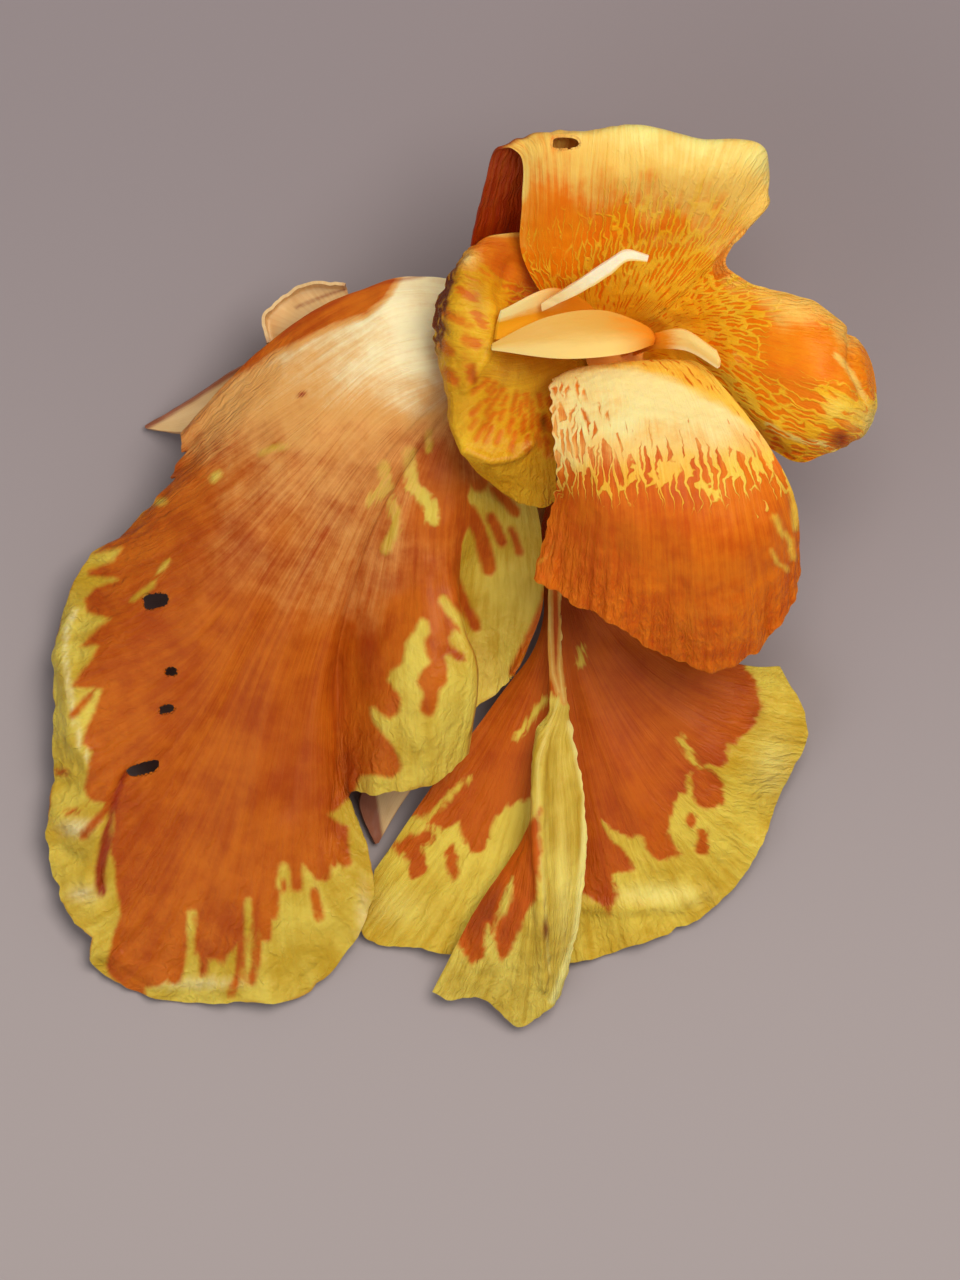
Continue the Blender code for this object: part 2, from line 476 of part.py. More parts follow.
def make_petals():
    left = from_side(LEFT_VEINS, LEFT_ROOT, (LEFT_CLAW,))
    sheet("staminode_left", frill(loft(left, 2, 2), 1.0, 8, 0.3), "yellow_orange")
    fan = from_side(FAN_VEINS, FAN_ROOT, FAN_CLAW)
    sheet("staminode_fan", frill(loft(fan, 2, 2), 0.8, 6, 0.35), "yellow_orange")
    folded = from_side(FOLDED_VEINS, FOLDED_ROOT, FOLDED_CLAW)
    sheet("staminode_folded", loft(folded, 1, 2), "yellow_orange")
    upper = from_rim(HOOD_VEINS, HOOD_ROOT) + from_rim(ARM_VEINS, ARM_ROOT)
    sheet("staminode_upper", loft(upper, 2, 2), "orange")
    sheet("staminode_cup", loft(from_side(CUP_VEINS, CUP_ROOT), 2, 3), "ochre")
    sheet("labellum", frill(loft(from_rim(LIP_VEINS, LIP_ROOT), 2, 2), 0.8, 4, 0.3), "pale_yellow")


def make_true_petals():
    sheet("true_petal_left", loft(from_side(TRUE_LEFT_VEINS, TRUE_LEFT_ROOT), 2, 2), "true_petal")
    sheet("true_petal_curled", loft(from_side(TRUE_CURLED_VEINS, TRUE_CURLED_ROOT), 2, 2), "true_petal")
    sheet("true_petal_lower", loft(from_side(TRUE_LOWER_VEINS, TRUE_LOWER_ROOT), 2, 2), "true_petal")


def make_throat_organs():
    sheet("style", loft(STYLE_VEINS, 2, 3), "cream", STYLE_THICKNESS)
    sheet("stamen", loft(STAMEN_VEINS, 2, 3), "yellow_orange")
    sheet("anther", loft(ANTHER_VEINS, 2, 2), "anther")
    sheet("staminode_small", loft(SMALL_STRIP_VEINS, 2, 3), "cream")


clear_scene()
make_ovary()
make_tube()
for sepal_name, sepal_degrees in SEPALS.items():
    make_sepal(sepal_name, sepal_degrees)
make_true_petals()
make_petals()
make_throat_organs()
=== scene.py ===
import math
from functools import reduce

import bpy
import numpy as np
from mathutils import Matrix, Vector, noise


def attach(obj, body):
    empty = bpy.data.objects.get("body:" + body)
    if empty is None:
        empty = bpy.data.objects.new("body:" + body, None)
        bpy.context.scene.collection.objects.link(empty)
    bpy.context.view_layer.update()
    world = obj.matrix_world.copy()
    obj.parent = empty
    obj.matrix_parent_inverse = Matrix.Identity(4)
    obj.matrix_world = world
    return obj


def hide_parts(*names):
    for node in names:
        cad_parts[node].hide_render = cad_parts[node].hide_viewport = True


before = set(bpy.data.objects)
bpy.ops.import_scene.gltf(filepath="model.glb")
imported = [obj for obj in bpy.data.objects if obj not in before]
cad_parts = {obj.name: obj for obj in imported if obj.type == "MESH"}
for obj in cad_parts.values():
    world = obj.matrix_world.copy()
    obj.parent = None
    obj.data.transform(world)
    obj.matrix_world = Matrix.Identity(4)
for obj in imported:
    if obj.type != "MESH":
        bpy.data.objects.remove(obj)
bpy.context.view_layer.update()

# The ovary. It is the round green seed case under the bloom, set all over with soft blunt warts.
# It stands on the flat scar where it left its stalk, and the flower tube stands on its flat top.
MM = 0.001
TUBE_AXIS = np.array((22.0, 32.0, 0.0))
TUBE_BOTTOM = 8.5


def srgb(red, green, blue):
    """A colour as a screen shows it, from 0 to 255, made linear."""
    parts = [value / 255 for value in (red, green, blue)]
    return tuple(p / 12.92 if p < 0.04045 else ((p + 0.055) / 1.055) ** 2.4 for p in parts) + (1.0,)


class Wire:
    """One socket of a material. Sums and products of wires add their Math nodes."""

    def __init__(self, dye, socket):
        self.dye = dye
        self.socket = socket

    def joined(self, operation, first, second):
        return self.dye.node("ShaderNodeMath", {"operation": operation}, {0: first, 1: second})

    def __add__(self, other):
        return self.joined("ADD", self, other)

    __radd__ = __add__

    def __sub__(self, other):
        return self.joined("SUBTRACT", self, other)

    def __rsub__(self, other):
        return self.joined("SUBTRACT", other, self)

    def __mul__(self, other):
        return self.joined("MULTIPLY", self, other)

    __rmul__ = __mul__


class Dye:
    """The material of one piece, made node by node."""

    def __init__(self, name):
        self.material = bpy.data.materials.new(name)
        self.material.use_nodes = True
        self.tree = self.material.node_tree
        self.shader = self.tree.nodes["Principled BSDF"]

    def node(self, kind, settings, sockets, out=0):
        """A node with its settings made first, then its sockets' values or links."""
        made = self.tree.nodes.new(kind)
        for name, value in settings.items():
            setattr(made, name, value)
        for place, value in sockets.items():
            if isinstance(value, Wire):
                self.tree.links.new(value.socket, made.inputs[place])
            else:
                made.inputs[place].default_value = value
        if isinstance(out, tuple):
            return [Wire(self, made.outputs[place]) for place in out]
        return Wire(self, made.outputs[out])

    def noise(self, place, scale, detail=2.0, roughness=0.5):
        sockets = {"Vector": place, "Scale": scale, "Detail": detail, "Roughness": roughness}
        return self.node("ShaderNodeTexNoise", {}, sockets)

    def ramp(self, value, low, high):
        """From 0 at low to 1 at high, smoothly."""
        sockets = {"Value": value, "From Min": low, "From Max": high}
        return self.node("ShaderNodeMapRange", {"interpolation_type": "SMOOTHSTEP"}, sockets)

    def mixed(self, share, first, second):
        return self.node("ShaderNodeMix", {"data_type": "RGBA"}, {0: share, 6: first, 7: second}, out=2)

    def place(self):
        """Where a point lies, in metres."""
        return self.node("ShaderNodeTexCoord", {}, {}, out=3)

    def unrolled(self):
        """How far a point lies across a sheet and along it, each from 0 to 1."""
        flat = self.node("ShaderNodeUVMap", {"uv_map": "UVMap"}, {})
        return self.node("ShaderNodeSeparateXYZ", {}, {0: flat}, out=(0, 1))

    def spread(self, across, along):
        return self.node("ShaderNodeCombineXYZ", {}, {0: across, 1: along})

    def stored(self, name):
        """A field that is kept at the points of the mesh."""
        return self.node("ShaderNodeAttribute", {"attribute_name": name}, {}, out=2)

    def bump(self, strength, height, distance=0.0002):
        sockets = {"Strength": strength, "Distance": distance, "Height": height}
        return self.node("ShaderNodeBump", {}, sockets)

    def finish(self, piece, fixed, **wires):
        """Sets what is even over the surface, links what changes, and gives the piece the material."""
        for name, value in fixed.items():
            self.shader.inputs[name].default_value = value
        for name, wire in wires.items():
            self.tree.links.new(wire.socket, self.shader.inputs[name.replace("_", " ")])
        piece.data.materials.clear()
        piece.data.materials.append(self.material)


def waxy(weight, *depths):
    """The even values of a skin that lets red, green and blue light in so many metres deep."""
    return {"Subsurface Weight": weight, "Subsurface Radius": depths, "Subsurface Scale": 1.0}


def start_fresh():
    bpy.ops.object.select_all(action="DESELECT")


def vectors(items, name):
    """The named vector of every vertex or face of a mesh, one row each."""
    flat = np.empty(len(items) * 3)
    items.foreach_get(name, flat)
    return flat.reshape(-1, 3)


OVARY_RADIUS = 4.9
OVARY_CENTRE = 4.3
OVARY_TOP = 8.2
SKIN_SINK = 0.1
WART_COUNT = 170
WART_HEIGHT = 0.42
WART_WIDTH = 0.105
start_fresh()
bpy.ops.mesh.primitive_uv_sphere_add(segments=112, ring_count=72, radius=1.0)
ovary = bpy.context.object
ovary.name = "warty_ovary"
wart_steps = np.arange(WART_COUNT) + 0.5
wart_up = 1 - 2 * wart_steps / WART_COUNT
wart_turn = wart_steps * math.pi * (3 - math.sqrt(5))
wart_out = np.sqrt(1 - wart_up**2)
warts = np.stack([wart_out * np.cos(wart_turn), wart_out * np.sin(wart_turn), wart_up], axis=1)
co = vectors(ovary.data.vertices, "co")
nearest = np.arccos(np.clip(co @ warts.T, -1, 1)).min(axis=1)
wart = np.exp(-((nearest / WART_WIDTH) ** 2))
co = co * (OVARY_RADIUS - SKIN_SINK + WART_HEIGHT * wart)[:, None]
co[:, 2] = np.clip(co[:, 2] + OVARY_CENTRE, 0.0, OVARY_TOP)
ovary.data.vertices.foreach_set("co", ((co + TUBE_AXIS) * MM).reshape(-1))
field = ovary.data.attributes.new("wart", "FLOAT", "POINT")
field.data.foreach_set("value", wart)
bpy.ops.object.shade_smooth()

ovary_dye = Dye("ovary_skin")
mottle = ovary_dye.noise(ovary_dye.place(), 900.0, 3.0)
green = ovary_dye.mixed(mottle, srgb(92, 104, 40), srgb(138, 140, 62))
skin = ovary_dye.mixed(ovary_dye.stored("wart") * 0.7, green, srgb(150, 96, 60))
ovary_dye.finish(
    ovary,
    waxy(0.1, 0.002, 0.002, 0.0008),
    Base_Color=skin,
    Roughness=mottle * 0.25 + 0.5,
    Normal=ovary_dye.bump(0.4, mottle),
)
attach(ovary, "root")
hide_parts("ovary")

# The flower tube. It is the short fluted neck above the ovary, where the bases of all the petals are
# grown together. It is pale green below and orange above, and a little wider at its rim.
TUBE_LOW_RADIUS = 4.0
TUBE_TOP_RADIUS = 4.5
TUBE_TOP = 21.7
FLUTES = 9
FLUTE_DEPTH = 0.16
TUBE_RINGS = 40
TUBE_FOOT_SINK = 0.35
start_fresh()
bpy.ops.mesh.primitive_cylinder_add(vertices=108, radius=1.0, depth=1.0, end_fill_type="TRIFAN")
tube = bpy.context.object
tube.name = "fluted_tube"
bpy.ops.object.mode_set(mode="EDIT")
for ring in range(1, TUBE_RINGS):
    bpy.ops.mesh.select_all(action="SELECT")
    height = ring / TUBE_RINGS - 0.5
    bpy.ops.mesh.bisect(plane_co=(0, 0, height), plane_no=(0, 0, 1))
bpy.ops.object.mode_set(mode="OBJECT")
for vert in tube.data.vertices:
    share = vert.co.z + 0.5
    turn = math.atan2(vert.co.y, vert.co.x)
    out = Vector((vert.co.x, vert.co.y, 0.0)).length
    ends = math.sin(math.pi * share) ** 0.5 if 0 < share < 1 else 0.0
    radius = TUBE_LOW_RADIUS + (TUBE_TOP_RADIUS - TUBE_LOW_RADIUS) * share**1.5
    radius -= FLUTE_DEPTH * (1 - math.cos(FLUTES * turn)) * (0.4 + 0.6 * ends)
    height = TUBE_BOTTOM - TUBE_FOOT_SINK + (TUBE_TOP - TUBE_BOTTOM + TUBE_FOOT_SINK) * share
    vert.co = (
        (TUBE_AXIS[0] + math.cos(turn) * radius * out) * MM,
        (TUBE_AXIS[1] + math.sin(turn) * radius * out) * MM,
        height * MM,
    )
bpy.ops.object.shade_smooth_by_angle(angle=math.radians(50))

tube_dye = Dye("tube_skin")
place = tube_dye.place()
height = tube_dye.node("ShaderNodeSeparateXYZ", {}, {0: place}, out=2)
stretched = tube_dye.node("ShaderNodeMapping", {}, {"Vector": place, "Scale": (1.0, 1.0, 0.12)})
threads = tube_dye.noise(stretched, 2600.0, 3.0)
upward = tube_dye.ramp(height + threads * 0.004, 0.009, 0.023)
neck = tube_dye.mixed(upward, srgb(186, 176, 92), srgb(214, 128, 46))
neck = tube_dye.mixed(threads * 0.5, neck, srgb(224, 196, 120))
neck = tube_dye.mixed(tube_dye.ramp(height, 0.0206, 0.0214), neck, srgb(246, 160, 24))
tube_dye.finish(
    tube,
    waxy(0.15, 0.002, 0.001, 0.0005),
    Base_Color=neck,
    Roughness=threads * 0.2 + 0.4,
    Normal=tube_dye.bump(0.35, threads),
)
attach(tube, "root")
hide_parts("flower_tube")

# The sepals. Three small dry pointed leaves sit at the top of the ovary and lean away from the tube.
# Each is a thin sheet along its own veins, greenish brown with darker lines.
SEPALS = {"sepal_right": 20.0, "sepal_upper": 118.0, "sepal_lower": 300.0}
SEPAL_LENGTH = 11.0
SEPAL_WIDTH = 4.6
SEPAL_ROOT_RADIUS = 3.6
SEPAL_ROOT_HEIGHT = 8.95
SEPAL_ROOT_DEPTH = 0.85
SEPAL_HOLLOW = 0.8
LEAF_THICKNESS = 0.45
SEPAL_STATIONS = ((0.0, 0.62, 0.0), (0.3, 1.0, 0.06), (0.65, 0.78, 0.2), (1.0, 0.12, 0.42))


def knots_of(points):
    """Where points lie along the curves through them, from 0 to 1, by their mean share of the length."""
    lengths = np.linalg.norm(np.diff(points, axis=0), axis=2).cumsum(axis=0)
    return np.concatenate([[0.0], (lengths / lengths[-1]).mean(axis=1)])


def smooth_curve(points, knots, places):
    """Points on the smooth curves through the given ones, at places from 0 to 1 along them."""
    spans = np.diff(knots)[:, None, None]
    chords = np.diff(points, axis=0) / spans
    weights = spans[:-1] / (spans[:-1] + spans[1:])
    slopes = np.concatenate([chords[:1], chords[:-1] * (1 - weights) + chords[1:] * weights, chords[-1:]])
    before = np.clip(np.searchsorted(knots, places, side="right") - 1, 0, len(knots) - 2)
    t = ((places - knots[before]) / np.diff(knots)[before])[:, None, None]
    span = spans[before]
    start = points[before] * (2 * t**3 - 3 * t**2 + 1) + slopes[before] * span * (t**3 - 2 * t**2 + t)
    return start + points[before + 1] * (3 * t**2 - 2 * t**3) + slopes[before + 1] * span * (t**3 - t**2)


def rough_field(points, size, seed=0.0):
    """Soft even noise from about -1 to 1 over the surface, with lumps of the given size in millimetres."""
    shape = points.shape[:-1]
    flat = points.reshape(-1, 3) / size + seed
    return np.array([noise.noise(Vector(point)) for point in flat]).reshape(shape)


def stroke(points, line, width):
    """How far points lie inside a line of some width seen from above; negative when outside it."""
    x, y = points[..., 0], points[..., 1]
    nearest = np.full(x.shape, 1e9)
    for (ax, ay), (bx, by) in zip(line, line[1:]):
        dx, dy = bx - ax, by - ay
        share = np.clip(((x - ax) * dx + (y - ay) * dy) / (dx * dx + dy * dy + 1e-9), 0, 1)
        nearest = np.minimum(nearest, np.hypot(x - ax - share * dx, y - ay - share * dy))
    return width / 2 - nearest


class Sheet:
    """A petal's surface in millimetres: rows of points from root to margin, columns from side to side.

    side and reach say where each column and row lies among the veins and among their points, and
    across and along are the same as plain shares, which become the piece's UV map.
    """

    def __init__(self, veins, columns, rows):
        veins = np.array(veins, dtype=float).transpose(1, 0, 2)
        self.along = np.linspace(0, 1, rows)
        self.across = np.linspace(0, 1, columns)
        knots = knots_of(veins)
        curves = smooth_curve(veins, knots, self.along)
        self.reach = np.interp(self.along, knots, np.linspace(0, 1, len(knots)))[:, None]
        curves = curves.transpose(1, 0, 2)
        knots = knots_of(curves)
        self.points = smooth_curve(curves, knots, self.across).transpose(1, 0, 2)
        self.side = np.interp(self.across, knots, np.linspace(0, 1, len(knots)))[None, :]

    def tear(self, raggedness, nicks=()):
        """Cuts the margin back: unevenly all along it, and in nicks given as x, y, half width and depth."""
        margin = self.points[-1]
        lengths = np.linalg.norm(np.diff(self.points, axis=0), axis=2).sum(axis=0)
        cut = raggedness * (1 + rough_field(margin, 1.3, 21.0) + 0.6 * rough_field(margin, 3.7, 33.0))
        for x, y, half_width, depth in nicks:
            away = np.hypot(margin[:, 0] - x, margin[:, 1] - y)
            cut += depth * np.clip(1 - away / half_width, 0, 1)
        ends = 1 - np.clip(cut, 0, None) / lengths
        for column, end in enumerate(ends):
            strand = self.points[:, column].copy()
            for axis in range(3):
                self.points[:, column, axis] = np.interp(self.along * end, self.along, strand[:, axis])

    def fray(self, first, raggedness, reach, seed):
        """Draws the first or the last column in and out unevenly, and the columns near it with it."""
        near = self.across if first else 1 - self.across
        pull = np.clip(1 - near / reach, 0, 1)[None, :, None]
        edge, inner = (0, 4) if first else (-1, -5)
        inward = self.points[:, inner] - self.points[:, edge]
        inward /= np.maximum(np.linalg.norm(inward, axis=1, keepdims=True), 1e-9)
        uneven = raggedness * (0.4 + rough_field(self.points[:, edge], 1.2, seed))
        self.points += (inward * uneven[:, None])[:, None, :] * pull

    def crease(self, *folds):
        """Raises rounded ridges, each along a line seen from above, with its height and its width.

        A height below 0 sinks a groove.
        """
        for line, height, width in folds:
            self.raise_by(height * np.exp(-((stroke(self.points, line, 0.0) / width) ** 2)))

    def crinkle(self, height, count, start, seed):
        """Raises small ridges side by side that run out to the margin, growing from start to the edge."""
        places = np.stack(np.broadcast_arrays(self.side * count, self.reach * 5.0, 0.37), axis=-1)
        growth = np.clip((self.reach - start) / (1 - start), 0, 1)
        self.raise_by(height * growth * rough_field(places, 1.0, seed))

    def normals(self):
        down = np.gradient(self.points, axis=0)
        over = np.gradient(self.points, axis=1)
        out = np.cross(over, down)
        out /= np.maximum(np.linalg.norm(out, axis=2, keepdims=True), 1e-9)
        return out * np.sign(out[..., 2:].mean() or 1.0)

    def raise_by(self, heights):
        """Moves the surface along its normals by so many millimetres."""
        self.points += self.normals() * heights[..., None]

    def frill(self, height, waves, reach):
        """The waves of the margin, the same as the solid's, rising towards its edge."""
        nearness = np.clip(1 - (1 - self.reach) / reach, 0, 1)
        turn = 2 * math.pi * waves * self.side
        swing = 0.62 * np.sin(turn) + 0.38 * np.sin(1.63 * turn + 1.1)
        self.points[..., 2] += height * nearness**2 * swing

    def piece(self, name, fields):
        """The sheet as a mesh, with its fields stored at its points."""
        rows, columns = self.points.shape[:2]
        start_fresh()
        bpy.ops.mesh.primitive_grid_add(x_subdivisions=columns - 1, y_subdivisions=rows - 1, size=2.0)
        made = bpy.context.object
        made.name = name
        made.data.vertices.foreach_set("co", (self.points * MM).reshape(-1))
        for field_name, values in fields.items():
            stored = made.data.attributes.new(field_name, "FLOAT", "POINT")
            spread = np.broadcast_to(values, (rows, columns))
            stored.data.foreach_set("value", np.ascontiguousarray(spread, dtype=np.float32).reshape(-1))
        made.data.update()
        return made


def thicken(petal, thickness):
    solidify = petal.modifiers.new("thickness", "SOLIDIFY")
    solidify.thickness = thickness * MM
    solidify.offset = 0.0
    bpy.ops.object.modifier_apply(modifier=solidify.name)
    bpy.ops.object.shade_smooth_by_angle(angle=math.radians(60))


for sepal_name, degrees in SEPALS.items():
    out = np.array((math.cos(math.radians(degrees)), math.sin(math.radians(degrees)), 0.0))
    aside = np.array((-out[1], out[0], 0.0))
    veins = []
    for across in (-1.0, -0.5, 0.0, 0.5, 1.0):
        vein = []
        for share, width, droop in SEPAL_STATIONS:
            lean = SEPAL_ROOT_RADIUS + (SEPAL_LENGTH + SEPAL_ROOT_DEPTH) * share
            height = SEPAL_ROOT_HEIGHT + SEPAL_HOLLOW * (across * width) ** 2 - SEPAL_LENGTH * droop
            beside = aside * (0.5 * SEPAL_WIDTH * width * across)
            vein.append(TUBE_AXIS + out * lean + beside + (0, 0, height))
        veins.append(vein)
    sheet = Sheet(veins, columns=31, rows=45)
    sheet.raise_by(0.12 * rough_field(sheet.points, 1.6))
    sepal = sheet.piece(sepal_name + "_leaf", {})
    thicken(sepal, LEAF_THICKNESS)
    sepal_dye = Dye(sepal_name + "_skin")
    over, along = sepal_dye.unrolled()
    lines = sepal_dye.noise(sepal_dye.spread(over * 16.0, along * 1.5), 2.0, 3.0)
    green = sepal_dye.mixed(sepal_dye.ramp(along, 0.2, 0.9), srgb(134, 122, 60), srgb(150, 92, 58))
    leaf = sepal_dye.mixed(sepal_dye.ramp(lines, 0.35, 0.7), green, srgb(96, 66, 40))
    grain = sepal_dye.bump(0.5, lines)
    sepal_dye.finish(sepal, {}, Base_Color=leaf, Roughness=lines * 0.2 + 0.5, Normal=grain)
    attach(sepal, "root")
    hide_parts(sepal_name)

# The true petals. Three narrow tan blades lie behind the bloom, each hollowed along its length. The left
# one ends in a point, the second curls its tip up beside the left petal, and the third points down.
SIDE_SINK = -0.7


def side_roots(veins, root, claw=()):
    """The veins with their roots spread round the side of the tube, just inside it, and their claw."""
    first, last, height = root
    whole = []
    for i, vein in enumerate(veins):
        share = i / (len(veins) - 1)
        turn = math.radians(first + (last - first) * share)
        risen = (height - TUBE_BOTTOM) / (TUBE_TOP - TUBE_BOTTOM)
        radius = TUBE_LOW_RADIUS + (TUBE_TOP_RADIUS - TUBE_LOW_RADIUS) * risen + SIDE_SINK
        start = TUBE_AXIS + (radius * math.cos(turn), radius * math.sin(turn), height)
        stalk = [np.array(a, float) * (1 - share) + np.array(b, float) * share for a, b in claw]
        whole.append([start] + stalk + [np.array(point, float) for point in vein])
    return whole


TRUE_LEFT_VEINS = (
    ((8, 35, 11), (-10, 34.5, 11), (-24, 33, 9.6), (-32, 29.5, 7.4), (-38, 25.6, 4.6), (-44.4, 21.8, 1.2)),
    ((8, 33.4, 10.4), (-10, 32.8, 9.8), (-24, 31, 8.4), (-32.2, 27.6, 6.4), (-38.2, 24.4, 4),
     (-44.3, 21.7, 1.1)),
    ((8, 32, 10.2), (-10, 31, 9.4), (-24, 29, 8), (-32.4, 25.8, 6), (-38.4, 23.2, 3.6), (-44.2, 21.6, 1.1)),
    ((8, 30.6, 10.4), (-10, 29, 9.8), (-24, 26.8, 8.4), (-32.7, 23.6, 6.3), (-38.6, 22, 3.8),
     (-44.1, 21.5, 1.1)),
    ((8, 29, 11), (-10, 27, 10.8), (-24, 24.5, 9.4), (-33, 21.5, 7.2), (-38.8, 20.8, 4.4),
     (-44, 21.4, 1.2)),
)
TRUE_CURLED_VEINS = (
    ((12, 35, 15), (0, 36.4, 19), (-10, 35, 20), (-20, 32.6, 18), (-26.6, 33, 14.6), (-26.9, 33.4, 16.4)),
    ((12, 35.8, 15), (0, 37.4, 19), (-10, 36.4, 20), (-20.6, 34.8, 18), (-27.1, 36.8, 14.4),
     (-27.4, 37.1, 16.6)),
    ((12, 36.6, 15), (0, 38.6, 19), (-10, 37.6, 20), (-19.8, 36.6, 18), (-24.1, 39.8, 15),
     (-24, 40.2, 17.2)),
    ((12.2, 37.4, 15), (0, 39.6, 19), (-9.6, 38.8, 20.4), (-17.6, 37.8, 18.6), (-20.5, 41.3, 16.6),
     (-20.7, 41.7, 18.6)),
    ((12.4, 38.2, 15.2), (0.4, 40.4, 19.2), (-8.6, 40.2, 21), (-14.6, 38.9, 19.9), (-16, 41, 18.2),
     (-16.1, 41.4, 20)),
)
TRUE_LOWER_VEINS = (
    ((10.5, 20, 9.8), (2, 4, 7.8), (-4, -12, 6.2), (-9.6, -24, 4.4), (-14.2, -31, 2.9),
     (-12.2, -36.8, 1.3)),
    ((14, 20, 8.6), (6, 4, 6.4), (0, -12, 4.8), (-6, -24, 3.2), (-11, -31, 2), (-12, -37, 1.1)),
    ((17, 20, 9.6), (10, 4, 7.4), (4, -12, 5.2), (-2.8, -24, 3.4), (-8, -31, 2.3), (-11.5, -36.8, 1.1)),
)
TRUE_PETALS = {
    "true_petal_left": (
        (170.0, 186.0, 10.4), TRUE_LEFT_VEINS, (((-44.2, 22), (-38, 25.9), (-30, 31)), 1.5)
    ),
    "true_petal_curled": (
        (157.0, 143.0, 12.2), TRUE_CURLED_VEINS, (((-22.8, 38.3), (-19.5, 39.6), (-16.2, 40.8)), 0.3)
    ),
    "true_petal_lower": ((222.0, 236.0, 10.0), TRUE_LOWER_VEINS, (((-13.9, -28), (-12.2, -38)), 3.4)),
}
for true_name, (root, veins, (brown_line, brown_width)) in TRUE_PETALS.items():
    sheet = Sheet(side_roots(veins, root), columns=49, rows=141)
    nearness = np.clip(sheet.reach * 2 - 1, 0, 1)
    sheet.raise_by(0.2 * rough_field(sheet.points, 2.6))
    sheet.raise_by(0.16 * nearness * rough_field(sheet.points, 0.9, 5.0))
    # The brown line is painted shade along the left true petal's upper side, and dried brown towards the
    # lower petal's tip.
    stain_and_shade = np.clip(0.5 + stroke(sheet.points, brown_line, brown_width), 0, 1)
    true_petal = sheet.piece(true_name + "_blade", {"brown": stain_and_shade})
    thicken(true_petal, LEAF_THICKNESS)
    tan_dye = Dye(true_name + "_skin")
    over, along = tan_dye.unrolled()
    lines = tan_dye.noise(tan_dye.spread(over * 14.0, along * 1.2), 2.0, 3.0)
    edges = tan_dye.ramp(over * (1 - over), 0.06, 0.0)
    blade = tan_dye.mixed(lines, srgb(236, 200, 140), srgb(212, 160, 98))
    blade = tan_dye.mixed(edges * 0.4 * tan_dye.ramp(along, 0.5, 0.8), blade, srgb(172, 92, 52))
    brown_and_shade = tan_dye.ramp(tan_dye.stored("brown") + (lines - 0.5) * 0.4, 0.1, 0.9)
    blade = tan_dye.mixed(brown_and_shade, blade, srgb(150, 84, 50))
    tan_dye.finish(
        true_petal,
        waxy(0.15, 0.002, 0.001, 0.0005),
        Base_Color=blade,
        Roughness=lines * 0.2 + 0.4,
        Normal=tan_dye.bump(0.4, lines),
    )
    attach(true_petal, "root")
    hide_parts(true_name)

